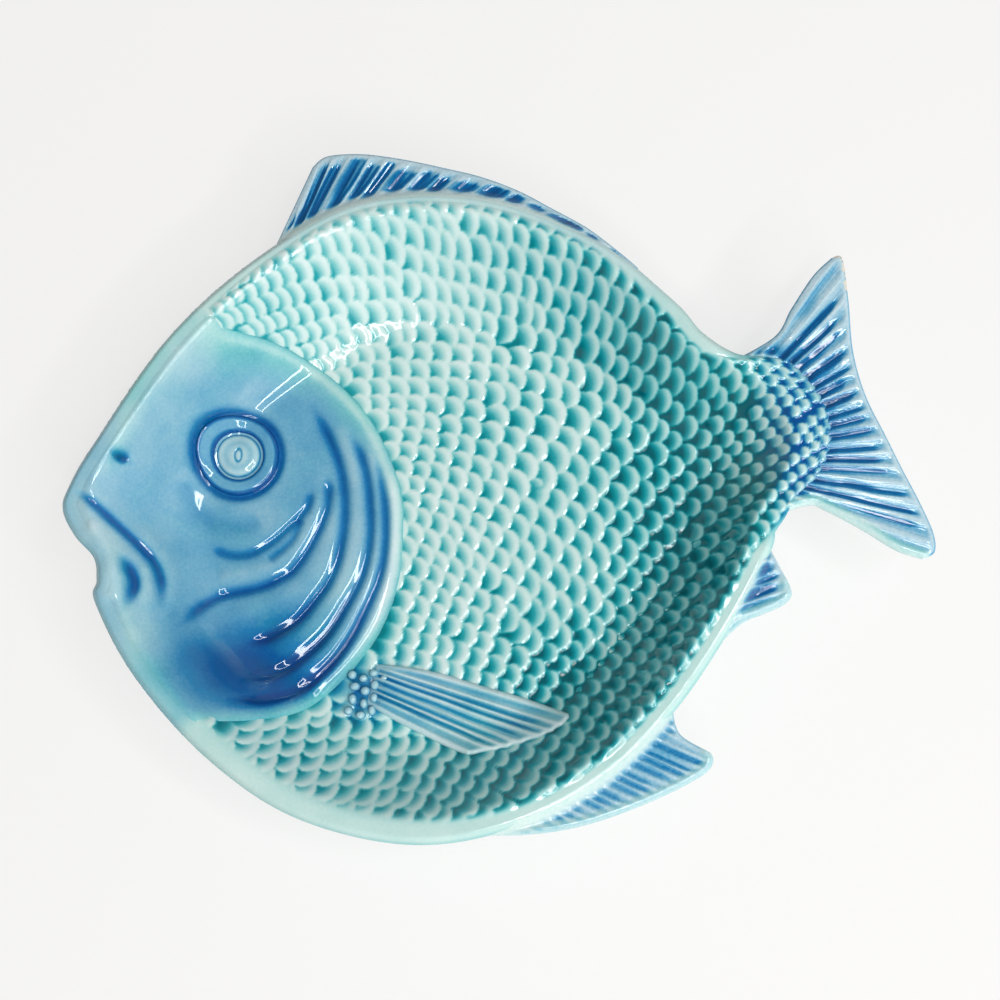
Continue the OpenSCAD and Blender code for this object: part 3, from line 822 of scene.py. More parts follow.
@dataclass
class HeadRelief:
    """Grooves, ridges, mouth and nostril of the head, and where its blue glaze pools."""

    form: DishForm
    raster: Raster
    eye_share: Place = (-0.307, 0.094)
    eye_groove: float = 15.6 * MM
    lines: tuple[CarvedLine, ...] = (
        CarvedLine(((-0.211, 0.153), (-0.193, 0.104), (-0.182, 0.05), (-0.182, -0.007), (-0.192, -0.066),
            (-0.206, -0.105), (-0.229, -0.137), (-0.253, -0.163), (-0.283, -0.179), (-0.313, -0.188)),
            -1.15, 1.35, 0.46),
        CarvedLine(((-0.166, 0.105), (-0.154, 0.062), (-0.15, 0.005), (-0.154, -0.055), (-0.167, -0.105),
            (-0.187, -0.143), (-0.215, -0.186), (-0.25, -0.217), (-0.283, -0.234), (-0.312, -0.24)), -1.2,
            1.35, 0.5),
        CarvedLine(((-0.138, 0.075), (-0.133, -0.005), (-0.137, -0.066), (-0.148, -0.112),
            (-0.168, -0.157), (-0.187, -0.194), (-0.214, -0.231), (-0.252, -0.261), (-0.287, -0.274),
            (-0.323, -0.272)), -1.1, 1.2, 0.5),
        CarvedLine(((-0.199, 0.048), (-0.2, 0.022), (-0.205, -0.004), (-0.224, -0.046), (-0.248, -0.083),
            (-0.269, -0.097), (-0.296, -0.107), (-0.336, -0.112), (-0.36, -0.128), (-0.377, -0.156)),
            -1.1, 1.3, 0.42),
        CarvedLine(((-0.222, 0.03), (-0.227, 0.006), (-0.247, -0.016), (-0.273, -0.039), (-0.3, -0.054),
            (-0.327, -0.053), (-0.349, -0.04)), -0.9, 1.2, 0.34),
        CarvedLine(((-0.236, -0.01), (-0.25, -0.042), (-0.281, -0.068)), -0.7, 1.1, 0.28),
        CarvedLine(((-0.374, 0.066), (-0.369, 0.03), (-0.354, 0.006), (-0.335, -0.006), (-0.308, -0.012),
            (-0.286, -0.004)), -0.45, 2.4, 0.14),
        CarvedLine(((-0.482, 0.036), (-0.468, 0.024), (-0.453, 0.004), (-0.433, -0.024), (-0.415, -0.05),
            (-0.405, -0.072), (-0.4, -0.098), (-0.399, -0.128)), -1.7, 1.05, 0.62, 0.2),
        CarvedLine(((-0.437, -0.056), (-0.428, -0.08), (-0.424, -0.103), (-0.43, -0.136)), -2.2, 1.25,
            0.74, 0.34),
        CarvedLine(((-0.437, 0.079), (-0.43, 0.083), (-0.423, 0.078)), -1.6, 1.3, 0.75, 0.3),
        CarvedLine(((-0.47, -0.006), (-0.452, -0.034), (-0.439, -0.06), (-0.449, -0.098),
            (-0.447, -0.13)), 1.0, 2.6, -0.1, 0.14),
        CarvedLine(((-0.425, -0.01), (-0.402, -0.046), (-0.39, -0.09), (-0.392, -0.14)), 0.7, 2.6, -0.06,
            0.2),
        CarvedLine(((-0.413, -0.06), (-0.411, -0.1), (-0.414, -0.135)), 0.9, 1.7, -0.1, 0.3),
        CarvedLine(((-0.186, 0.13), (-0.17, 0.08), (-0.166, 0.025), (-0.17, -0.035), (-0.184, -0.09),
            (-0.208, -0.14), (-0.242, -0.18), (-0.285, -0.205)), 0.9, 2.6, -0.16),
        CarvedLine(((-0.148, 0.09), (-0.142, 0.03), (-0.145, -0.035), (-0.158, -0.105), (-0.185, -0.165),
            (-0.22, -0.212), (-0.262, -0.242)), 1.0, 2.4, -0.2),
        CarvedLine(((-0.12, 0.05), (-0.121, -0.03), (-0.131, -0.1), (-0.157, -0.17), (-0.193, -0.222),
            (-0.24, -0.266)), 0.6, 2.0, -0.18),
        CarvedLine(((-0.19, 0.03), (-0.196, -0.02), (-0.212, -0.066), (-0.24, -0.108), (-0.28, -0.13),
            (-0.335, -0.142)), 0.8, 3.0, -0.1),
        CarvedLine(((-0.213, 0.03), (-0.222, -0.012), (-0.245, -0.05), (-0.275, -0.074), (-0.31, -0.082),
            (-0.345, -0.085)), 0.6, 2.2, -0.1),
    )

    def __post_init__(self) -> None:
        """Carves every line and settles the glaze."""
        x, y = self.raster.grid()
        self.height = np.zeros(x.shape)
        self.pool = np.full(x.shape, 0.40)
        for line in self.lines:
            self._carve(x, y, line)
        eye_x, eye_y = self.form.sized(self.eye_share)
        away = np.hypot(x - eye_x, y - eye_y)
        ring = bell(away - self.eye_groove, 1.7 * MM)
        self.height -= 1.1 * MM * ring
        self.pool += 0.42 * ring
        socket = np.exp(-((away / (24 * MM)) ** 4))
        self.pool -= 0.05 * socket
        self._settle(x, y)
        inset = self.form.edge_distance(x, y)
        self.height *= ease(inset, 0.4 * MM, 3.5 * MM)
        self.height = self.raster.blurred(self.height, 0.35 * MM)

    def _carve(self, x: Array, y: Array, line: CarvedLine) -> None:
        """Adds one line's height and glaze to the head.

        Args:
            x: Along the dish.
            y: Across the dish.
            line: The groove or ridge.
        """
        path = smooth_line(self.form.sized(line.places), False, 6)
        margin = 4 * line.half_width * MM
        columns, rows = self.raster.axes()
        box = tuple(
            slice(*np.searchsorted(axis, (path[:, k].min() - margin, path[:, k].max() + margin)))
            for axis, k in ((rows, 1), (columns, 0))
        )
        gap, where = line_distance(x[box], y[box], path)
        swell = ease(where, 0, line.ends) * (1 - ease(where, 1 - line.ends, 1))
        swell = between(0.12, 1.0, swell)
        width = 1.35 * line.half_width * MM * between(0.7, 1.0, swell)
        self.height[box] += line.rise * MM * swell * bell(gap, width)
        self.pool[box] += 0.85 * line.pool * swell * bell(gap, 1.15 * width)

    def _settle(self, x: Array, y: Array) -> None:
        """Lets the blue glaze run down and pool at the foot of the cheek.

        Args:
            x: Along the dish.
            y: Across the dish.
        """
        for share, reach, amount in (
            ((-0.275, -0.25), (34, 14), 0.34), ((-0.33, -0.215), (22, 12), 0.24),
            ((-0.225, -0.2), (24, 16), 0.10), ((-0.27, -0.155), (26, 10), 0.10),
        ):
            px, py = self.form.sized(share)
            blob = ((x - px) / (reach[0] * MM)) ** 2 + ((y - py) / (reach[1] * MM)) ** 2
            self.pool += amount * np.exp(-blob)
        wall = ease(self.form.wall_height(*self.form.polar(x, y)), 24 * MM, 46 * MM)
        self.pool -= 0.14 * wall

    def blue(self, x: Array, y: Array) -> Array:
        """Share of blue glaze over the head, fading to celadon at its borders.

        Args:
            x: Along the dish.
            y: Across the dish.

        Returns:
            The shares, from 0 to 1.
        """
        inset = self.form.edge_distance(x, y)
        gap, where = line_distance(x, y, self.form.gill_line[::3])
        fade = between(5.5 * MM, 20 * MM, ease(where, 0.45, 0.95))
        shore = ease(inset, 1 * MM, 13 * MM)
        snout = ease(-x, 0.40 * self.form.length, 0.445 * self.form.length)
        low_side = ease(-y, 0.02 * self.form.width, 0.2 * self.form.width) * 0.45
        shore = np.maximum(shore, np.maximum(0.85 * snout * ease(inset, -3 * MM, 3 * MM), low_side))
        return shore * between(0.15, 1.0, ease(gap / fade, 0.1, 1.0))


@dataclass
class Surface:
    """The dish's whole inner face: its heights, and how the glaze lies on it."""

    form: DishForm = field(default_factory=DishForm)
    step: float = 0.4 * MM
    margin: float = 4 * MM
    skin_end: float = 0.425

    def __post_init__(self) -> None:
        """Makes the relief that all regions read."""
        half, side = self.form.length / 2, self.form.width / 2
        low = (-half - self.margin, -side - self.margin)
        self.raster = Raster(low, (self.skin_end * self.form.length, side), self.step)
        self.scales = ScaleRelief(self.form, self.raster)
        log.info("scales pressed on a grid of %s", self.scales.height.shape)
        self.head = HeadRelief(self.form, self.raster)
        self.head_angles = tuple(self.form.bearing(self.form.gill_line[end]) for end in (0, -1))

    def is_head(self, x: Array, y: Array) -> Array:
        """1 in the directions of the head, as seen from the middle, and 0 elsewhere.

        Args:
            x: Along the dish.
            y: Across the dish.

        Returns:
            The shares.
        """
        angle, _ = self.form.polar(x, y)
        throat, nape = self.head_angles
        turned = np.mod(angle - nape, TURN)
        span = np.mod(throat - nape, TURN)
        inside = ease(turned, -0.02, 0.06) * (1 - ease(turned, span - 0.06, span + 0.02))
        return inside * (turned < span + 0.02)

    def skin_height(self, x: Array, y: Array) -> Array:
        """Height of the scaled skin."""
        return self.form.height(x, y) + self.raster.read(self.scales.height, x, y)

    def skin_coat(self, x: Array, y: Array) -> Array:
        """Glaze on the scaled skin: how deep it pools, with painted shade on the right wall and at the rim's
        outer edge, how blue it is, and bare clay.

        Args:
            x: Along the dish.
            y: Across the dish.

        Returns:
            The glaze of each place.
        """
        shown = self.raster.read(self.scales.shown, x, y)
        tail = self.form.tail_share(self.form.polar(x, y)[0])
        plain = between(self.rim_pool_and_shade(x, y), 0.46, tail)
        pool = between(plain, self.raster.read(self.scales.pool, x, y), shown)
        root_x, root_y = self.form.sized((-0.17, -0.275))
        beads = np.exp(-(((x - root_x) / (9 * MM)) ** 2 + ((y - root_y) / (8 * MM)) ** 2) ** 2)
        pool = between(pool, 0.7, 0.8 * beads)
        blue = self.stray_blue(x, y) * between(0.3, 1.0, ease(pool, 0.05, between(0.75, 0.3, 1 - shown)))
        return glazed(pool, blue, 0.08 * (1 - shown) * (1 - tail))

    def rim_pool_and_shade(self, x: Array, y: Array) -> Array:
        """Depth of the glaze on the plain band of the rim, with painted shade along its outer edge."""
        inset = self.form.edge_distance(x, y)
        # The middle term is painted shade, darkening the outermost millimetre and a half of the rim.
        return 0.19 + 0.14 * (1 - ease(inset, 0.1 * MM, 1.4 * MM)) + 0.05 * ease(inset, 4 * MM, 9 * MM)

    def stray_blue(self, x: Array, y: Array) -> Array:
        """Blue that has run onto the skin at the roots of the tail, the side fin and the back fin.

        Args:
            x: Along the dish.
            y: Across the dish.

        Returns:
            The shares of blue.
        """
        tail = ease(x, 0.305 * self.form.length, 0.362 * self.form.length)
        root_x, root_y = self.form.sized((-0.165, -0.275))
        spot = np.exp(-(((x - root_x) / (17 * MM)) ** 2 + ((y - root_y) / (11 * MM)) ** 2) ** 1.5)
        side, _ = line_distance(x, y, self.form.sized(((-0.16, -0.265), (-0.05, -0.325), (0.03, -0.35))))
        reach = 1 - ease(x, -0.05 * self.form.length, 0.06 * self.form.length)
        run = 0.75 * bell(side, 9.5 * MM) * reach
        angle, _ = self.form.polar(x, y)
        back = 0.65 * ease(angle, 0.55, 0.9) * (1 - ease(angle, 1.95, 2.15))
        back = back * (1 - ease(self.form.edge_distance(x, y), 1.5 * MM, 7 * MM))
        return np.clip(np.maximum(np.maximum(tail, spot), np.maximum(run, back)), 0, 1)

    def head_height(self, x: Array, y: Array) -> Array:
        """Height of the carving alone, above the plain head."""
        return self.raster.read(self.head.height, x, y)

    def head_coat(self, x: Array, y: Array) -> Array:
        """Glaze on the head and on the rim before it.

        Args:
            x: Along the dish.
            y: Across the dish.

        Returns:
            The glaze of each place.
        """
        blue = self.head.blue(x, y)
        pool = self.raster.read(self.head.pool, x, y)
        inset = self.form.edge_distance(x, y)
        pool = between(self.rim_pool_and_shade(x, y) + 0.12, pool, ease(inset, 0.5 * MM, 9 * MM))
        pool = np.where(blue < 0.5, between(np.minimum(pool, 0.42), pool, 2 * blue), pool)
        return glazed(pool, blue)


# Finishes


def painted(red: int, green: int, blue: int) -> Colour:
    """A colour written as on screen, as the shader wants it.

    Args:
        red: Red, from 0 to 255.
        green: Green, from 0 to 255.
        blue: Blue, from 0 to 255.

    Returns:
        The colour in linear light.
    """
    def linear(value: int) -> float:
        """One channel without the screen's curve."""
        share = value / 255
        return share / 12.92 if share <= 0.04045 else ((share + 0.055) / 1.055) ** 2.4

    return linear(red), linear(green), linear(blue), 1.0


GREEN_STOPS: Stops = (
    (0.0, painted(238, 249, 245)), (0.16, painted(204, 235, 229)), (0.36, painted(136, 209, 208)),
    (0.56, painted(48, 172, 178)), (0.76, painted(0, 142, 150)), (1.0, painted(0, 100, 109)),
)
BLUE_STOPS: Stops = (
    (0.0, painted(228, 240, 243)), (0.2, painted(176, 212, 222)), (0.4, painted(112, 176, 205)),
    (0.6, painted(34, 130, 184)), (0.8, painted(0, 90, 158)), (1.0, painted(0, 64, 132)),
)
FIN_STOPS: Stops = (
    (0.0, painted(230, 241, 244)), (0.2, painted(182, 214, 226)), (0.4, painted(106, 176, 208)),
    (0.6, painted(18, 126, 180)), (0.8, painted(0, 94, 154)), (1.0, painted(0, 72, 124)),
)


class Wiring:
    """Adds nodes to the node tree of a material or world, each with its values and links."""

    def __init__(self, tree: bpy.types.NodeTree) -> None:
        """Keeps the tree."""
        self.tree = tree

    def fill(self, node: bpy.types.Node, inputs: dict[str | int, Input]) -> None:
        """Sets inputs of a node to plain values, or links them to outputs of other nodes.

        Args:
            node: The node.
            inputs: Values and links by name or number of the input.
        """
        for name, value in inputs.items():
            if isinstance(value, Socket):
                self.tree.links.new(value, node.inputs[name])
            else:
                node.inputs[name].default_value = value

    def add(self, kind: str, inputs: dict[str | int, Input] | None = None, **settings: str) -> bpy.types.Node:
        """Adds a node.

        Args:
            kind: Its type, as Blender calls it after ShaderNode.
            inputs: Values and links of its inputs.
            settings: Values of its properties.

        Returns:
            The node.
        """
        node = self.tree.nodes.new("ShaderNode" + kind)
        for name, value in settings.items():
            setattr(node, name, value)
        self.fill(node, inputs or {})
        return node

    def math(self, operation: str, *values: Input) -> Socket:
        """Result of a sum of values and links."""
        return self.add("Math", dict(enumerate(values)), operation=operation).outputs[0]

    def noise(self, place: Socket, scale: float, detail: float, distortion: float = 0.0) -> Socket:
        """Strength of a cloudy noise at a place."""
        inputs = {"Vector": place, "Scale": scale, "Detail": detail, "Distortion": distortion}
        return self.add("TexNoise", inputs).outputs["Fac"]

    def blend(self, share: Input, first: Input, second: Input) -> Socket:
        """Mixes a colour with another by a share."""
        return self.add("Mix", {"Factor": share, 6: first, 7: second}, data_type="RGBA").outputs[2]

    def ramp(self, share: Socket, stops: Stops) -> Socket:
        """Colour of a share on a ramp.

        Args:
            share: Place on the ramp.
            stops: Places and colours of the ramp.

        Returns:
            The colour.
        """
        node = self.add("ValToRGB", {"Fac": share})
        elements = node.color_ramp.elements
        while len(elements) > 1:
            elements.remove(elements[-1])
        elements[0].position, elements[0].color = stops[0]
        for position, colour in stops[1:]:
            elements.new(position).color = colour
        return node.outputs["Color"]

    def bumped(self, height: Socket, strength: float, depth: float) -> Socket:
        """Normal of a surface that is faintly uneven."""
        return self.add("Bump", {"Height": height, "Strength": strength, "Distance": depth}).outputs["Normal"]


def new_material(name: str) -> tuple[bpy.types.Material, Wiring, bpy.types.Node]:
    """A new material, the wiring of its nodes, and its shader.

    Args:
        name: Name of the material.

    Returns:
        The three.
    """
    made = bpy.data.materials.new(name)
    made.use_nodes = True
    return made, Wiring(made.node_tree), made.node_tree.nodes["Principled BSDF"]


@dataclass(frozen=True)
class GlazeFinish:
    """Clear coloured glaze: pale where it is thin on edges, deep where it pools and where shade is painted
    into it.
    """

    name: str
    mottle: float = 0.10
    mottle_scale: float = 55.0
    grain: float = 0.05
    grain_scale: float = 900.0
    drift: float = 0.05
    drift_scale: float = 42.0
    roughness: float = 0.07
    bare_roughness: float = 0.6
    refraction: float = 1.5
    coat: float = 0.15
    coat_roughness: float = 0.03
    ripple_scale: float = 160.0
    ripple_strength: float = 0.35
    ripple_depth: float = 0.08 * MM
    speck_scale: float = 75.0
    speck_size: float = 0.028
    speckless: float = 0.8
    green: Stops = GREEN_STOPS
    blue: Stops = BLUE_STOPS
    bare: Colour = painted(230, 222, 206)
    iron: Colour = painted(38, 44, 42)

    def build(self) -> bpy.types.Material:
        """Makes the material.

        Returns:
            The node material, which reads the mesh's "glaze" attribute.
        """
        made, wiring, shader = new_material(self.name)
        glaze = wiring.add("Attribute", attribute_name="glaze").outputs["Color"]
        parts = wiring.add("SeparateColor", {"Color": glaze}).outputs
        place = wiring.add("TexCoord").outputs["Object"]
        # Red holds how deep the glaze pools, with painted shade in places.
        depth = self._shifted(wiring, parts["Red"], wiring.noise(place, self.mottle_scale, 4.0), self.mottle)
        depth = self._shifted(wiring, depth, wiring.noise(place, self.grain_scale, 3.0), self.grain)
        cloud = wiring.noise(place, self.drift_scale, 5.0, 0.6)
        blue = self._shifted(wiring, parts["Green"], cloud, self.drift)
        tint = wiring.blend(blue, wiring.ramp(depth, self.green), wiring.ramp(depth, self.blue))
        tint = wiring.blend(self._specks(wiring, place), tint, self.iron)
        rough = wiring.add("MapRange", {
            "Value": parts["Blue"], "From Min": 0.35, "To Min": self.roughness, "To Max": self.bare_roughness,
        })
        ripple = wiring.bumped(wiring.noise(place, self.ripple_scale, 2.0), self.ripple_strength,
                               self.ripple_depth)
        wiring.fill(shader, {
            "Base Color": wiring.blend(parts["Blue"], tint, self.bare),
            "Roughness": rough.outputs["Result"], "IOR": self.refraction, "Coat Weight": self.coat,
            "Coat Roughness": self.coat_roughness, "Normal": ripple, "Coat Normal": ripple,
        })
        return made

    @staticmethod
    def _shifted(wiring: Wiring, value: Socket, noise: Socket, amount: float) -> Socket:
        """Adds a noise, centred on zero, to a value."""
        return wiring.math("ADD", value, wiring.math("MULTIPLY_ADD", noise, 2 * amount, -amount))

    def _specks(self, wiring: Wiring, place: Socket) -> Socket:
        """1 on the few dark iron specks that are scattered in the glaze.

        Args:
            wiring: The material's wiring.
            place: Places on the object.

        Returns:
            1 on a speck and 0 elsewhere.
        """
        cells = wiring.add("TexVoronoi", {"Vector": place, "Scale": self.speck_scale}).outputs
        chosen = wiring.add("SeparateColor", {"Color": cells["Color"]}).outputs["Red"]
        size = wiring.add("MapRange", {
            "Value": chosen, "From Min": self.speckless, "To Max": self.speck_size,
        })
        return wiring.math("LESS_THAN", cells["Distance"], size.outputs["Result"])


@dataclass(frozen=True)
class ClayFinish:
    """Bare fired clay: cream, matt and slightly gritty, rubbed darker where it stands."""

    name: str = "bare_clay"
    dark: Colour = painted(204, 188, 162)
    pale: Colour = painted(226, 214, 192)
    roughness: float = 0.85
    grit_scale: float = 1600.0
    grit_strength: float = 0.4
    grit_depth: float = 0.1 * MM

    def build(self) -> bpy.types.Material:
        """Makes the node material.

        Returns:
            The material.
        """
        made, wiring, shader = new_material(self.name)
        place = wiring.add("TexCoord").outputs["Object"]
        grit = wiring.noise(place, self.grit_scale, 2.0)
        wiring.fill(shader, {
            "Base Color": wiring.ramp(wiring.noise(place, 120.0, 6.0), ((0.3, self.dark), (0.62, self.pale))),
            "Roughness": self.roughness,
            "Normal": wiring.bumped(grit, self.grit_strength, self.grit_depth),
        })
        return made


class Finishes:
    """Every finish of the dish, made once."""

    def __init__(self) -> None:
        """Builds the materials by the record's slot names."""
        finishes = (
            GlazeFinish("celadon_glaze"), GlazeFinish("sea_green_glaze", mottle=0.07),
            GlazeFinish("blue_glaze", mottle=0.15, grain=0.07, drift=0.5),
            GlazeFinish("deep_blue_glaze", mottle=0.08, grain=0.12, blue=FIN_STOPS), ClayFinish(),
        )
        self.by_slot = {finish.name: finish.build() for finish in finishes}

    def dress(self, piece: Object, slot: str, *nodes: str) -> None:
        """Gives a finished piece the material of a slot and its body, and hides the CAD nodes that it stands
        for.

        Args:
            piece: The finished mesh object.
            slot: Name of the record's material slot.
            nodes: CAD nodes that the piece replaces.
        """
        piece.data.materials.clear()
        piece.data.materials.append(self.by_slot[slot])
        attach(piece, BODY)
        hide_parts(*nodes)
        log.info("%s: %d faces, stands for %s", piece.name, len(piece.data.polygons), ", ".join(nodes))


# Mesh work shared by the pieces


class Modeller:
    """Adds meshes with Blender's own tools and moves their points into shape."""

    smooth_angle = math.radians(72)

    @staticmethod
    def grid(name: str, columns: int, rows: int) -> tuple[Object, Array, Array]:
        """Adds a flat grid.

        Args:
            name: Name of the new object.
            columns: Faces from left to right.
            rows: Faces from low to high.

        Returns:
            The object, and the shares of each of its points across and up.
        """
        bpy.ops.object.select_all(action="DESELECT")
        bpy.ops.mesh.primitive_grid_add(x_subdivisions=columns, y_subdivisions=rows, size=1)
        piece = bpy.context.object
        piece.name = piece.data.name = name
        across = np.tile(np.arange(columns + 1) / columns, rows + 1)
        up = np.repeat(np.arange(rows + 1) / rows, columns + 1)
        return piece, across, up

    @staticmethod
    def move(piece: Object, places: Array) -> None:
        """Moves every point of a mesh to its place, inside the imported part's box.

        Args:
            piece: The mesh object.
            places: Places of its points.
        """
        places = np.clip(places, np.array(CAD_BOX[0]) + 1e-6, np.array(CAD_BOX[1]) - 1e-6)
        piece.data.vertices.foreach_set("co", places.astype(np.float32).ravel())
        piece.data.update()

    @staticmethod
    def coat(piece: Object, coat: Array) -> None:
        """Writes the glaze of every point of a mesh.

        Args:
            piece: The mesh object.
            coat: Glaze of its points.
        """
        layer = piece.data.color_attributes.new("glaze", "FLOAT_COLOR", "POINT")
        values = np.concatenate([np.clip(coat, 0, 1), np.ones((len(coat), 1))], 1)
        layer.data.foreach_set("color", values.astype(np.float32).ravel())

    @staticmethod
    def places(piece: Object) -> Array:
        """Places of every point of a mesh.

        Args:
            piece: The mesh object.

        Returns:
            The places, one per row.
        """
        values = np.zeros(len(piece.data.vertices) * 3, np.float32)
        piece.data.vertices.foreach_get("co", values)
        return values.reshape(-1, 3).astype(float)

    @classmethod
    def finish(cls, piece: Object) -> Object:
        """Smooths a closed mesh but for its hard borders.

        Args:
            piece: The mesh object.

        Returns:
            The same object.
        """
        bpy.ops.object.select_all(action="DESELECT")
        piece.select_set(True)
        bpy.context.view_layer.objects.active = piece
        bpy.ops.object.shade_smooth_by_angle(angle=cls.smooth_angle)
        return piece

    @classmethod
    def shell(cls, name: str, size: Size, top: Callable[[Array, Array], Pair],
              under: Callable[[Array, Array], Array], thinning: int) -> Object:
        """Makes a closed shell from a fine upper face and a coarse under face.

        Args:
            name: Name of the piece.
            size: Faces of the upper face across and up.
            top: Gives places and glaze for shares across and up.
            under: Gives places of the under face for shares across and up.
            thinning: How many times coarser the under face is.

        Returns:
            The closed piece, its two faces bridged along their borders.
        """
        base, across, up = cls.grid(name + "_under", size[0] // thinning, size[1] // thinning)
        places = under(across, up)
        cls.move(base, places)
        cls.coat(base, np.tile((0.3, 0.0, 0.0), (len(places), 1)))
        bpy.ops.object.mode_set(mode="EDIT")
        bpy.ops.mesh.select_all(action="SELECT")
        bpy.ops.mesh.flip_normals()
        bpy.ops.object.mode_set(mode="OBJECT")
        piece, across, up = cls.grid(name, *size)
        places, coat = top(across, up)
        cls.move(piece, places)
        cls.coat(piece, coat)
        base.select_set(True)
        bpy.context.view_layer.objects.active = piece
        bpy.ops.object.join()
        bpy.ops.object.mode_set(mode="EDIT")
        bpy.ops.mesh.select_mode(type="EDGE")
        bpy.ops.mesh.select_all(action="DESELECT")
        bpy.ops.mesh.select_non_manifold(
            extend=False, use_wire=False, use_boundary=True, use_multi_face=False,
            use_non_contiguous=False, use_verts=False,
        )
        bpy.ops.mesh.bridge_edge_loops()
        bpy.ops.object.mode_set(mode="OBJECT")
        return cls.finish(piece)

    @classmethod
    def loft(cls, name: str, spokes: int, stations: int,
             shape: Callable[[Array, Array], Pair], ring: bool = False) -> Object:
        """Makes a closed piece from loops that follow one another over its surface.

        Args:
            name: Name of the piece.
            spokes: Points in each loop.
            stations: Number of loops.
            shape: Gives places and glaze for turns, from 0 to 1, and loop numbers.
            ring: Whether the last loop meets the first one.

        Returns:
            The closed piece, with its seams and poles merged.
        """
        rows = stations if ring else stations - 1
        piece, turn, up = cls.grid(name, spokes, rows)
        station = np.rint(up * rows).astype(int) % stations
        places, coat = shape(np.mod(turn, 1.0), station)
        cls.move(piece, places)
        cls.coat(piece, coat)
        bpy.ops.object.mode_set(mode="EDIT")
        bpy.ops.mesh.select_all(action="SELECT")
        bpy.ops.mesh.remove_doubles(threshold=1e-7)
        bpy.ops.object.mode_set(mode="OBJECT")
        return cls.finish(piece)


@dataclass(frozen=True)
class Patch:
    """A four-sided face held by its border lines: front and rear run up, low and high run across."""

    front: Array
    rear: Array
    low: Array
    high: Array

    def at(self, across: Array, up: Array) -> Array:
        """Places for shares across and up.

        Args:
            across: Shares across.
            up: Shares up.

        Returns:
            One place per row.
        """
        u, v = across[:, None], up[:, None]
        sides = between(along(self.front, up), along(self.rear, up), u)
        ends = between(along(self.low, across), along(self.high, across), v)
        corners = between(
            between(self.front[0], self.front[-1], v), between(self.rear[0], self.rear[-1], v), u
        )
        return sides + ends - corners

    def border(self, count: int, with_low: bool) -> Array:
        """Points of the border, with or without its low side.

        Args:
            count: Points on each side.
            with_low: Whether the low side is part of it.

        Returns:
            The points, in order.
        """
        share = np.linspace(0, 1, count)
        parts = [along(self.front, share), along(self.high, share), along(self.rear, share)[::-1]]
        if with_low:
            parts.append(along(self.low, share)[::-1])
        return np.concatenate(parts)


# The pieces


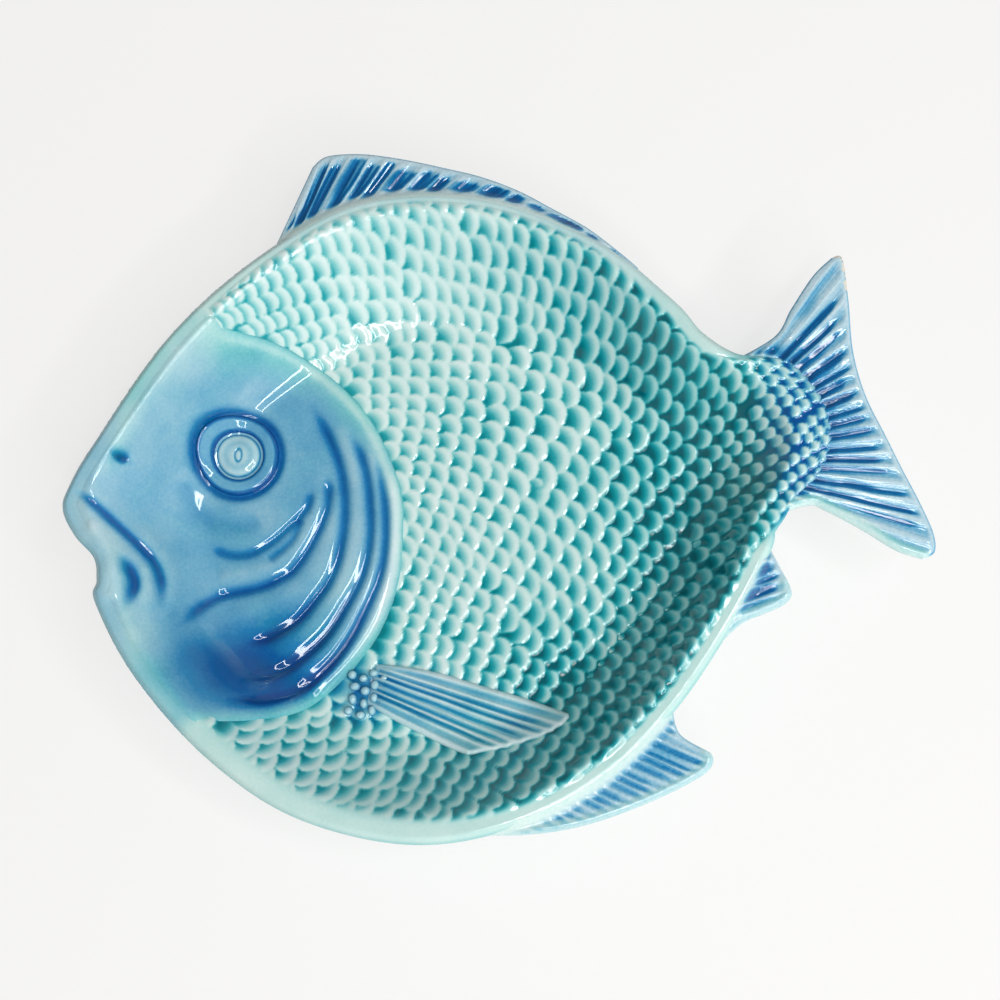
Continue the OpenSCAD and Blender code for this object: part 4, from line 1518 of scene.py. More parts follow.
@dataclass
class Bowl:
    """The bowl with its rounded rim, outer wall and underside."""

    surface: Surface
    spokes: int = 1200
    hidden_rings: int = 12
    rim_rings: int = 27
    rim_band: float = 13 * MM
    under_rings: int = 18
    under_dip: float = 0.6 * MM
    head_dip: float = 2.4 * MM
    head_dip_band: Place = (6.2 * MM, 10.5 * MM)

    def build(self, finishes: Finishes) -> None:
        """Lofts the bowl and dresses it."""
        piece = Modeller.loft("bowl_body", self.spokes, self._stations(), self._shape)
        finishes.dress(piece, "celadon_glaze", "bowl")

    def _stations(self) -> int:
        """Number of loops from the middle of the floor over the rim to the middle of the underside."""
        return 1 + self.hidden_rings + self.rim_rings + len(self._lip()) + self.under_rings + 1

    def _lip(self) -> tuple[tuple[float, float], ...]:
        """Insets and drops of the loops round the rim's outer side.

        Returns:
            An inset and a drop for each loop.
        """
        side = self.surface.form.rim_side
        return ((-0.02 * MM, 0.35 * side), (0.10 * MM, 0.6 * side), (0.45 * MM, 0.85 * side),
                (1.1 * MM, 1.08 * side), (2.2 * MM, 1.25 * side), (3.6 * MM, 1.42 * side))

    def _shape(self, turn: Array, station: Array) -> Pair:
        """Places and glaze of the bowl's points.

        Args:
            turn: Turn of each point, from 0 to 1, clockwise.
            station: Loop number of each point.

        Returns:
            Places, and glaze.
        """
        form = self.surface.form
        angle = wrapped(-TURN * turn - math.pi)
        edge = form.edge.at(angle)
        reach = np.zeros(turn.shape)
        rim_start = 1 + self.hidden_rings
        hidden = (station >= 1) & (station < rim_start)
        reach[hidden] = ((edge - self.rim_band) * station / rim_start)[hidden]
        top = (station >= rim_start) & (station < rim_start + self.rim_rings)
        share = np.clip((station - rim_start) / (self.rim_rings - 1), 0, 1)
        inset = self.rim_band * (1 - share) ** 1.25
        reach[top] = (edge - inset)[top]
        z, coat = self._upper(*form.placed(angle, reach).T)
        lip_start = rim_start + self.rim_rings
        for k, (lip_inset, drop) in enumerate(self._lip()):
            here = station == lip_start + k
            reach[here] = (edge - np.maximum(lip_inset, 0.02 * MM))[here]
            z[here] = form.fin_level - drop
            # Painted darker reflection on the rim's outer side: the lip's glaze is set deeper than the
            # underside's.
            coat[here, 0] = 0.32
        under_start = lip_start + len(self._lip())
        under = station >= under_start
        climb = 1 - np.clip((station - under_start) / (self.under_rings - 1), 0, 1)
        under_reach, under_z = self._under(angle, climb)
        reach[under], z[under] = under_reach[under], under_z[under]
        coat[under, 0] = 0.30
        reach[station == self._stations() - 1] = 0
        return np.column_stack([form.placed(angle, reach), z]), coat

    def _upper(self, x: Array, y: Array) -> Pair:
        """Height and glaze of the upper face, sunk where the laid-on skins cover it.

        Args:
            x: Along the dish.
            y: Across the dish.

        Returns:
            Heights, and glaze.
        """
        form, surface = self.surface.form, self.surface
        angle, _ = form.polar(x, y)
        inset = form.edge_distance(x, y)
        head = surface.is_head(x, y)
        z = form.height(x, y) + head * surface.head_height(x, y) * (inset < 20 * MM)
        sunk = np.clip((inset - form.skin_border(angle) - 2 * MM) / (3.5 * MM), 0, 1) ** 3
        z -= self.under_dip * sunk + self.head_dip * head * ease(inset, *self.head_dip_band)
        coat = between(surface.skin_coat(x, y), surface.head_coat(x, y), head[:, None])
        return z, coat

    def _under(self, angle: Array, climb: Array) -> Pair:
        """Distance and height of the underside at a share of the wall's climb.

        Args:
            angle: Directions from the middle.
            climb: Shares of the wall's climb, from 0 to 1.

        Returns:
            Distances from the middle, and heights.
        """
        form = self.surface.form
        foot = form.floor.at(angle)
        run = form.soft_edge.at(angle) - form.wall_inset - foot
        rise = form.wall_top - form.floor_level
        lean = np.arctan(rise / run * (6 * climb - 3 * climb**2) / 2)
        reach = foot + run * climb + form.wall * np.sin(lean)
        reach = np.minimum(reach, form.edge.at(angle) - 5 * MM)
        height = form.floor_level + rise * climb**2 * (3 - climb) / 2 - form.wall * np.cos(lean)
        return reach, height


@dataclass
class FootRing:
    """The unglazed ring that the dish stands on."""

    form: DishForm
    inset: float = 6 * MM
    spokes: int = 480
    profile: tuple[tuple[float, float], ...] = (
        (-1.1, 5.35), (-0.5, 4.9), (-0.15, 4.2), (0.0, 3.2), (0.05, 1.4), (0.25, 0.55), (0.75, 0.12),
        (1.5, 0.0), (3.0, 0.0), (4.5, 0.0), (5.25, 0.12), (5.75, 0.55), (5.95, 1.4), (6.0, 3.2),
        (6.15, 4.2), (6.5, 4.9), (7.1, 5.35), (3.0, 5.35),
    )

    def build(self, finishes: Finishes) -> None:
        """Lofts the ring and dresses it."""
        piece = Modeller.loft("foot_ring_clay", self.spokes, len(self.profile), self._shape, ring=True)
        finishes.dress(piece, "bare_clay", "foot_ring")

    def _shape(self, turn: Array, station: Array) -> Pair:
        """Places of the ring's points; a bare ring has no glaze.

        Args:
            turn: Turn of each point, from 0 to 1.
            station: Loop number of each point.

        Returns:
            Places, and glaze.
        """
        angle = wrapped(-TURN * turn)
        section = np.array(self.profile) * MM
        reach = self.form.floor.at(angle) - self.inset - section[station, 0]
        places = np.column_stack([self.form.placed(angle, reach), section[station, 1]])
        return places, np.zeros((len(turn), 3))


@dataclass
class ScaledSkin:
    """Three stretches of scaled skin that meet edge to edge."""

    surface: Surface
    gill_under: float = 2.2 * MM
    gill_low: float = 0.24
    gill_high: float = 0.76
    back_angle: float = TURN * 0.2972
    belly_angle: float = -TURN * 0.3139
    rear_angles: Place = (-TURN * 0.0236, TURN * 0.05)
    corner_turn: float = 0.03
    thickness: float = 0.5 * MM

    def build(self, finishes: Finishes) -> None:
        """Builds the flank, the nape and the throat.

        Args:
            finishes: The finishes.
        """
        sizes = {Region.FLANK: (272, 336), Region.NAPE: (152, 112), Region.THROAT: (152, 112)}
        for region, patch in self._patches().items():
            piece = Modeller.shell(
                region.value + "_skin", sizes[region],
                lambda u, v, p=patch: self._top(p, u, v),
                lambda u, v, p=patch: self._bottom(p, u, v), 4,
            )
            finishes.dress(piece, "sea_green_glaze", region.value)

    def _patches(self) -> dict[Region, Patch]:
        """Border lines of each stretch.

        Returns:
            A patch for each stretch.
        """
        form = self.surface.form
        gill = form.gill_line
        run = np.gradient(gill, axis=0)
        side = np.stack([-run[:, 1], run[:, 0]], -1) / np.hypot(*run.T)[:, None]
        hidden = gill + side * self.gill_under
        share = np.linspace(0, 1, 200)

        def rim(start: float, end: float) -> Array:
            """Line along the rim where the skin ends."""
            angle = between(start, end, share)
            return form.inside_edge(angle, form.skin_border(angle))

        def gill_part(start: float, end: float) -> Array:
            """Stretch of the gill line, moved under the head's edge."""
            return along(hidden, between(start, end, share))

        nape_angle = form.bearing(hidden[-1])
        throat_angle = form.bearing(hidden[0])
        low = rim(self.belly_angle, self.rear_angles[0])
        high = rim(self.back_angle, self.rear_angles[1])
        side_gill = gill_part(self.gill_low, self.gill_high)
        belly_seam = np.stack([low[0], side_gill[0]])
        back_seam = np.stack([side_gill[-1], high[0]])
        front = np.concatenate([
            along(belly_seam, np.linspace(0, 1, 24)[:-1]), side_gill,
            along(back_seam, np.linspace(0, 1, 24)[1:]),
        ])
        nape_high = rim(nape_angle - self.corner_turn, self.back_angle)
        throat_low = rim(throat_angle + self.corner_turn, self.belly_angle)
        nape_low, throat_high = gill_part(1, self.gill_high), gill_part(0, self.gill_low)
        return {
            Region.FLANK: Patch(evened(front), rim(*self.rear_angles), low, high),
            Region.NAPE: Patch(np.stack([nape_low[0], nape_high[0]]), back_seam, nape_low, nape_high),
            Region.THROAT: Patch(
                np.stack([throat_low[0], throat_high[0]]), belly_seam, throat_low, throat_high
            ),
        }

    def _top(self, patch: Patch, across: Array, up: Array) -> Pair:
        """Upper face of a stretch, dipped under the bowl's face along the rim.

        Args:
            patch: Its border lines.
            across: Shares across.
            up: Shares up.

        Returns:
            Places, and glaze.
        """
        x, y = patch.at(across, up).T
        form = self.surface.form
        angle, _ = form.polar(x, y)
        inset = form.edge_distance(x, y) - form.skin_border(angle)
        depth = between(0.35 * MM, 0.55 * MM, form.tail_share(angle))
        z = self.surface.skin_height(x, y) - depth * (1 - np.clip(inset / (3.2 * MM), 0, 1)) ** 3
        return np.stack([x, y, z], -1), self.surface.skin_coat(x, y)

    def _bottom(self, patch: Patch, across: Array, up: Array) -> Array:
        """Under face of a stretch, just above the bowl's sunk face."""
        x, y = patch.at(across, up).T
        return np.stack([x, y, self.surface.form.height(x, y) - self.thickness - 0.35 * MM], -1)


@dataclass
class Head:
    """The raised head: cheek, gill lines, mouth and nostril, with its rounded gill edge."""

    surface: Surface
    thickness: float = 3.1 * MM
    fade: float = 24 * MM
    border_inset: float = 5 * MM
    edge_round: float = 4.6 * MM
    size: Size = (208, 304)
    under: float = 0.85 * MM
    under_more: float = 2.1 * MM

    def build(self, finishes: Finishes) -> None:
        """Builds the head and dresses it.

        Args:
            finishes: The finishes.
        """
        patch = self.patch()
        piece = Modeller.shell(
            "head_shell", self.size, lambda u, v: self._top(patch, u, v),
            lambda u, v: self._bottom(patch, u, v), 4,
        )
        finishes.dress(piece, "blue_glaze", "head_plate", "gill_ridges", "cheek_folds", "lips")

    def patch(self) -> Patch:
        """Border lines of the head.

        Returns:
            The patch.
        """
        form = self.surface.form
        throat, nape = form.gill_line[0], form.gill_line[-1]
        angle = np.linspace(form.bearing(throat) + TURN, form.bearing(nape), 400)
        front = form.inside_edge(angle, self.border_inset)
        return Patch(front, form.gill_line, np.stack([front[0], throat]), np.stack([front[-1], nape]))

    def lift(self, x: Array, y: Array) -> Array:
        """Height of the head's plain face above the dish, before its edge is rounded."""
        return self.thickness * ease(self.surface.form.edge_distance(x, y), 3 * MM, self.fade)

    def level(self, x: Array, y: Array) -> Array:
        """Height of the head's carved face."""
        return self.surface.form.height(x, y) + self.lift(x, y) + self.surface.head_height(x, y)

    def _top(self, patch: Patch, across: Array, up: Array) -> Pair:
        """Upper face of the head, rounded down at the gill and dipped under the rim's face.

        Args:
            patch: Its border lines.
            across: Shares across.
            up: Shares up.

        Returns:
            Places, and glaze.
        """
        x, y = patch.at(across, up).T
        form = self.surface.form
        edge = np.concatenate([patch.low[:1], form.gill_line[::2], form.gill_line[-1:], patch.high[:1]])
        gap, _ = line_distance(x, y, edge)
        share = np.clip(gap / self.edge_round, 0, 1)
        inset = form.edge_distance(x, y) - self.border_inset
        dip = 0.35 * MM * (1 - np.clip(inset / (3.2 * MM), 0, 1)) ** 3
        lift = (self.lift(x, y) + 0.4 * MM) * rounding(share) - 0.4 * MM
        z = form.height(x, y) + lift + self.surface.head_height(x, y) * share - dip
        coat = self.surface.head_coat(x, y)
        free = ease(inset, 4 * MM, 15 * MM)
        coat[:, 0] = between(coat[:, 0], 0.45, free * (1 - ease(gap, 0, 1.3 * MM)))
        coat[:, 0] -= 0.16 * free * bell(gap - 3 * MM, 1.8 * MM)
        return np.stack([x, y, z], -1), coat

    def _bottom(self, patch: Patch, across: Array, up: Array) -> Array:
        """Under face of the head, between the skins and the bowl's sunk face.

        Args:
            patch: Its border lines.
            across: Shares across.
            up: Shares up.

        Returns:
            The places.
        """
        x, y = patch.at(across, up).T
        form = self.surface.form
        depth = self.under + self.under_more * ease(form.edge_distance(x, y), 5.2 * MM, 10 * MM)
        gap, _ = line_distance(x, y, form.gill_line[::3])
        depth = between(self.under, depth, ease(gap, 2 * MM, 6 * MM))
        return np.stack([x, y, form.height(x, y) - depth], -1)


@dataclass
class Eye:
    """The raised ring round the eye, and the domed eye with its pupil."""

    surface: Surface
    head: Head
    ring_radii: Place = (8.6 * MM, 14.9 * MM)
    ring_height: float = 1.5 * MM
    ball_radius: float = 8.4 * MM
    ball_height: float = 2.3 * MM
    pupil: Place = (1.25 * MM, 2.3 * MM)
    pupil_tilt: float = math.radians(-8)
    sunk: float = 0.9 * MM
    under: float = 1.4 * MM
    spokes: int = 160
    ring_loops: Size = (20, 6)
    ball_loops: Size = (30, 6)

    def build(self, finishes: Finishes) -> None:
        """Builds the ring and the eye and dresses them.

        Args:
            finishes: The finishes.
        """
        ring = Modeller.loft("eye_ring_raised", self.spokes, sum(self.ring_loops), self._ring, ring=True)
        finishes.dress(ring, "blue_glaze", "eye_ring")
        ball = Modeller.loft("eye_dome", self.spokes, sum(self.ball_loops), self._ball)
        finishes.dress(ball, "celadon_glaze", "eyeball")

    def _around(self, turn: Array, radius: Array) -> tuple[Array, Array, Array]:
        """Places round the eye, and the height of the head there without the ring's own groove.

        Args:
            turn: Turn of each point, from 0 to 1.
            radius: Distances from the eye's middle.

        Returns:
            Coordinates of the places.
        """
        centre = self.surface.form.sized(self.surface.head.eye_share)
        angle = -TURN * turn
        x, y = centre[0] + radius * np.cos(angle), centre[1] + radius * np.sin(angle)
        return x, y, self.surface.form.height(x, y) + self.head.lift(x, y)

    def _ring(self, turn: Array, station: Array) -> Pair:
        """Places and glaze of the ring's points.

        Args:
            turn: Turn of each point, from 0 to 1.
            station: Loop number of each point.

        Returns:
            Places, and glaze.
        """
        low, high = self.ring_radii
        upper, lower = self.ring_loops
        share = np.clip(station / (upper - 1), 0, 1)
        below = station >= upper
        share = np.where(below, 1 - (station - upper) / lower, share)
        swell = np.sqrt(np.clip(1 - np.abs(2 * share - 1) ** 2.6, 0, 1))
        x, y, z = self._around(turn, between(low, high, share))
        lift = np.where(below, -self.under, -self.sunk + (self.ring_height + self.sunk) * swell)
        side = np.minimum(share, 1 - share) * (high - low)
        pool = between(0.86, 0.42, ease(side, 0.5 * MM, 2.0 * MM))
        return np.stack([x, y, z + lift], -1), glazed(pool, 1.0)

    def _ball(self, turn: Array, station: Array) -> Pair:
        """Places and glaze of the eye's points.

        Args:
            turn: Turn of each point, from 0 to 1.
            station: Loop number of each point.

        Returns:
            Places, and glaze.
        """
        upper, lower = self.ball_loops
        share = np.clip(station / (upper - 1), 0, 1)
        below = station >= upper
        share = np.where(below, 1 - (station - upper + 1) / lower, share)
        x, y, z = self._around(turn, self.ball_radius * share)
        centre = self.surface.form.sized(self.surface.head.eye_share)
        tilt = self.pupil_tilt
        u = (x - centre[0]) * math.cos(tilt) + (y - centre[1]) * math.sin(tilt)
        v = -(x - centre[0]) * math.sin(tilt) + (y - centre[1]) * math.cos(tilt)
        oval = np.hypot(u / self.pupil[0], v / self.pupil[1])
        groove = bell(oval - 1, 0.3)
        dome = np.sqrt(np.clip(1 - share**2.3, 0, 1))
        lift = -self.sunk + (self.ball_height + self.sunk) * dome - 0.35 * MM * groove
        lift = np.where(below, -self.under, lift)
        pool = 0.16 + 0.70 * (1 - ease(dome, 0.2, 0.66)) + 0.42 * groove
        pool += 0.14 * bell(share - 0.55, 0.16)
        return np.stack([x, y, z + lift], -1), glazed(pool, 0.8)


class Side(Enum):
    """Border lines of a patch."""

    REAR = "rear"
    HIGH = "high"


@dataclass(frozen=True)
class FinPlan:
    """Border and rays of one fin, its points as shares of the dish's length and width."""

    node: str
    rays: int
    tip: tuple[Place, ...]
    fan: Place
    turns: Place = (0.0, 0.0)
    front: tuple[Place, ...] = ()
    rear: tuple[Place, ...] = ()
    size: Size = (320, 96)
    fine: float = 0.0
    # Painted shade along the free edge: darker where positive, lighter where negative.
    edge_shade: float = 0.3
    depth: float = 0.84
    starts: Place = (0.0, 0.0)
    wash: float = 0.13
    hem: float = 0.0
    hem_line: Side = Side.HIGH
    seed: int = 1
    chipped: bool = False


@dataclass
class Streaks:
    """Blue brushed into the valleys between the rays of a fin."""

    rays: int
    fine: float
    seed: int

    def __post_init__(self) -> None:
        """Draws how strong, wide and long each streak is."""
        chance = np.random.default_rng(self.seed)
        count = self.rays + 1
        self.strength = chance.uniform(0.62, 1.0, count)
        self.breadth = chance.uniform(0.48, 0.68, count)
        self.start = chance.uniform(-1.2 * MM, 1.4 * MM, count)
        self.end = chance.uniform(0.2 * MM, 3.4 * MM, count)
        self.shift = chance.uniform(-0.07, 0.07, count)
        self.waves = tuple(zip((2.3, 4.1, 6.7, 9.7), chance.uniform(0, 6.3, 4), chance.uniform(0, 6.3, 4)))

    def brush(self, place: Array, up: Array) -> Array:
        """Fine marks of the brush along the rays, about zero.

        Args:
            place: Places across the rays, whole numbers in the valleys.
            up: Places along the rays.

        Returns:
            The strength of the marks.
        """
        return 0.35 * sum(
            np.sin(TURN * rate * place + turn + 1.6 * np.sin(2.4 * up + sway))
            for rate, turn, sway in self.waves
        )

    def at(self, place: Array, out: Array, gap: Array) -> Array:
        """Depth of the blue at places counted in rays.

        Args:
            place: Places across the rays, whole numbers in the valleys.
            out: Distances from the root.
            gap: Distances from the free edge.

        Returns:
            The depths, from 0 to 1.
        """
        brush = self.brush(place, out / (20 * MM))
        place = place + 0.22 * np.sin(1.9 * place + self.seed) + 0.09 * np.sin(4.3 * place + 2)
        index = np.clip(np.rint(place).astype(int), 0, self.rays)
        offset = place - index + self.shift[index] * np.sin(out / (4 * MM))
        window = ease(out - self.start[index], 0, 2.4 * MM)
        size = np.clip((np.maximum(out, 0) + gap) / (10 * MM), 0.3, 1)
        soft = between(4.4 * MM, 2.2 * MM, min(1.0, 2 * self.fine))
        window = window * ease(gap / size + 0.5 * MM * brush - self.end[index], 0, soft)
        taper = 1 - 0.5 * ease(out / (np.abs(out) + gap + 1e-6), 0.4, 1.0)
        breadth = self.breadth[index] * between(0.4, 1.0, window) * taper
        single = 1 - ease(np.abs(offset) / breadth + 0.12 * brush, 0.3, 1.05)
        double = 1 - ease(np.abs(np.abs(offset) - 0.26) / (0.5 * breadth), 0.3, 1.0)
        dark = between(single, double, self.fine * ease(out, 3 * MM, 8 * MM))
        return np.clip(dark * window * self.strength[index] * (1 + 0.25 * brush), 0, 1)


@dataclass
class OuterFins:
    """The four ribbed fins that stand out from the rim."""

    surface: Surface
    root_inset: float = 2.6 * MM
    thickness: Place = (4.5 * MM, 2.9 * MM)
    rise: float = 0.7 * MM
    ray_height: float = 0.55 * MM
    edge_round: float = 2.1 * MM
    plans: tuple[FinPlan, ...] = (
        FinPlan(
            "back_fin", 17,
            ((-0.174, 0.484), (-0.155, 0.498), (-0.112, 0.495), (-0.062, 0.479), (-0.015, 0.459),
             (0.028, 0.439), (0.071, 0.411), (0.108, 0.379), (0.148, 0.343), (0.182, 0.302),
             (0.202, 0.275)),
            (-0.28, 0.20), (0.332, 0.1222), size=(440, 88), fine=0.6, starts=(0.5 * MM, -2.6 * MM), seed=3,
        ),
        FinPlan(
            "tail_fin", 24,
            ((0.428, 0.257), (0.441, 0.254), (0.441, 0.19), (0.438, 0.118), (0.445, 0.053),
             (0.461, -0.007), (0.475, -0.059), (0.488, -0.104), (0.4985, -0.15), (0.4965, -0.176),
             (0.482, -0.184)),
            (0.23, -0.011), (0.0575, -0.0264), ((0.351, 0.153), (0.374, 0.19), (0.404, 0.234)),
            ((0.361, -0.092), (0.384, -0.104), (0.421, -0.136), (0.454, -0.168)),
            size=(360, 200), depth=0.58, starts=(-1 * MM, -1 * MM), wash=0.16, hem=3.4 * MM,
            hem_line=Side.REAR, seed=8, chipped=True,
        ),
        FinPlan(
            "vent_fin", 8,
            ((0.33, -0.2), (0.331, -0.215), (0.32, -0.227), (0.298, -0.236), (0.275, -0.244),
             (0.258, -0.257), (0.245, -0.27)),
            (-1.65, -0.77), (-0.0319, -0.0931), size=(200, 96), edge_shade=-0.04, depth=0.66,
            starts=(-2.2 * MM, -2.2 * MM), wash=0.2, hem=4 * MM, seed=5,
        ),
        FinPlan(
            "belly_fin", 22,
            ((0.219, -0.415), (0.221, -0.426), (0.213, -0.44), (0.191, -0.453), (0.155, -0.469),
             (0.118, -0.482), (0.078, -0.493), (0.038, -0.4985), (0, -0.4988), (-0.033, -0.4955)),
            (-1.61, 0.79), (-0.1306, -0.2444), ((0.184, -0.373), (0.192, -0.392)), size=(360, 96),
            edge_shade=0.14, depth=0.28,
            starts=(-0.5 * MM, 0.5 * MM), wash=0.2, hem=3.6 * MM, seed=2,
        ),
    )

    def build(self, finishes: Finishes) -> None:
        """Builds the four fins and dresses them.

        Args:
            finishes: The finishes.
        """
        for plan in self.plans:
            patch = self._patch(plan)
            border = patch.border(240, with_low=False)
            streaks = Streaks(plan.rays, plan.fine, plan.seed)
            root, tip = patch.low[::9], patch.high[::9]
            ends = self._fanned(plan, *np.concatenate([root, tip]).T)
            span = (ends.min(), ends.max())
            piece = Modeller.shell(
                plan.node + "_ribbed", plan.size,
                lambda u, v, a=(plan, patch, border, streaks, span): self._top(*a, u, v),
                lambda u, v, a=(patch, border): self._bottom(*a, u, v), 2,
            )
            finishes.dress(piece, "deep_blue_glaze", plan.node)

    def _patch(self, plan: FinPlan) -> Patch:
        """Border lines of a fin, from inside the rim to its free edge.

        Args:
            plan: The fin.

        Returns:
            The patch.
        """
        form = self.surface.form
        angle = TURN * np.linspace(*plan.turns, 200)
        inset = between(self.root_inset, 6 * MM, form.tail_share(angle))
        root = form.inside_edge(angle, inset)
        tip = evened(smooth_line(form.sized(plan.tip), False, 12))
        sides = []
        for end, shares in ((0, plan.front), (-1, plan.rear)):
            between_ends = form.sized(np.reshape(shares, (-1, 2)))
            sides.append(evened(smooth_line(np.vstack([root[end], between_ends, tip[end]]), False, 12)))
        return Patch(*sides, evened(root), tip)

    def _fanned(self, plan: FinPlan, x: Array, y: Array) -> Array:
        """Direction of places from the point out of which a fin's rays spread."""
        centre = self.surface.form.sized(plan.fan)
        return np.arctan2(y - centre[1], x - centre[0])

    def _section(self, x: Array, y: Array, up: Array, border: Array) -> tuple[Array, Array, Array]:
        """Middle height, half thickness and distance from the free edge at places on a fin.

        Args:
            x: Along the dish.
            y: Across the dish.
            up: Shares up.
            border: Points of its free border.

        Returns:
            The three, each with one value per place.
        """
        gap, _ = line_distance(x, y, border[::2])
        thick = between(self.thickness[0], self.thickness[1], up)
        share = np.clip(gap / self.edge_round, 0, 1)
        half = thick / 2 * (0.22 + 0.78 * rounding(share))
        level = self.surface.form.fin_level + self.rise * ease(up) - thick / 2
        return level, half, gap

    def _top(self, plan: FinPlan, patch: Patch, border: Array, streaks: Streaks, span: Place,
             across: Array, up: Array) -> Pair:
        """Upper face of a fin, with its rays and streaks.

        Args:
            plan: The fin.
            patch: Its border lines.
            border: Points of its free border.
            streaks: The blue between its rays.
            span: Directions of its first and last rays.
            across: Shares across the fin.
            up: Shares from the root to the free edge.

        Returns:
            Places, and glaze.
        """
        across, up = crowded(across), crowded(up)
        x, y = patch.at(across, up).T
        level, half, gap = self._section(x, y, up, border)
        form = self.surface.form
        inset = form.edge_distance(x, y)
        tail = form.tail_share(form.polar(x, y)[0])
        hem = np.zeros(x.shape)
        if plan.hem:
            away, _ = line_distance(x, y, getattr(patch, plan.hem_line.value)[::8])
            hem = 1 - ease(away, 0.7 * plan.hem, 1.2 * plan.hem)
        place = plan.rays * (self._fanned(plan, x, y) - span[0]) / (span[1] - span[0])
        out = -inset - between(*plan.starts, across)
        dark = streaks.at(place, out, gap) * (1 - hem)
        size = np.clip((np.maximum(out, 0) + gap) / (10 * MM), 0.3, 1)
        inner = ease(gap / size, 0.6 * MM, 3 * MM)
        ribs = 0.5 - 0.5 * np.cos(TURN * place)
        rooted = ease(out, 0.0, 2.8 * MM)
        swell = inner * rooted * (1 - hem)
        z = level + half + self.ray_height * swell * (ribs - 0.5 - 0.5 * dark)
        z += 0.10 * MM * swell * streaks.brush(place, -inset / (20 * MM))
        if plan.hem:
            z += 0.45 * MM * bell(away - 0.5 * plan.hem, 0.3 * plan.hem) * rooted
        crown = form.rim_height - 0.14 * MM - level - half
        drop = ease((self.root_inset + 0.2 * MM - inset) / (5.6 * MM))
        z += (1 - tail) * crown * (1 - drop) * ease(gap, 0.0, 5 * MM)
        z += tail * 0.25 * MM * (1 - ease(-inset, 3 * MM, 9 * MM))
        z -= tail * 0.5 * MM * (1 - ease(-inset, -1.5 * MM, 1.5 * MM))
        pool = 0.13 + (plan.depth * dark + between(0.14, 0.24, tail) * (1 - ribs) ** 0.7) * inner * rooted
        pool += (plan.wash - 0.13) * rooted
        pool += 0.16 * tail * (1 - ease(-inset, 2 * MM, 7 * MM)) * (1 - hem)
        # Painted shade: a darker line along the fin's free edge.
        pool += plan.edge_shade * (1 - ease(gap, 0.1 * MM, 0.9 * MM)) * (1 - hem)
        blue = between(ease(out, -1 * MM, 2.5 * MM), 1.0, tail * ease(gap, 0, 6 * MM))
        blue = blue * (1 - (0.85 if plan.edge_shade > 0.2 else 0.5) * hem)
        bare = np.maximum(self._chips(plan, x, y, gap), 0.08 * (1 - tail) * (1 - ease(-inset, 0.0, 3 * MM)))
        return np.stack([x, y, z], -1), glazed(pool, blue, bare)

    def _bottom(self, patch: Patch, border: Array, across: Array, up: Array) -> Array:
        """Under face of a fin.

        Args:
            patch: Its border lines.
            border: Points of its free border.
            across: Shares across.
            up: Shares up.

        Returns:
            The places.
        """
        across, up = crowded(across), crowded(up)
        x, y = patch.at(across, up).T
        level, half, _ = self._section(x, y, up, border)
        return np.stack([x, y, level - half], -1)

    def _chips(self, plan: FinPlan, x: Array, y: Array, gap: Array) -> Array:
        """Bare clay where the tail's upper corner has been knocked.

        Args:
            plan: The fin.
            x: Along the dish.
            y: Across the dish.
            gap: Distances from the free edge.

        Returns:
            1 on bare clay and 0 on glaze.
        """
        if not plan.chipped:
            return np.zeros(x.shape)
        knocked = self.surface.form.sized(((0.436, 0.258), (0.4405, 0.25), (0.4415, 0.205)))
        away, where = line_distance(x, y, knocked)
        ragged = 0.5 + 0.3 * np.sin(23 * where) + 0.2 * np.sin(61 * where)
        return (1 - ease(away, 1.4 * MM, 2.2 * MM)) * (1 - ease(gap, 0.9 * MM * ragged, 1.8 * MM * ragged))


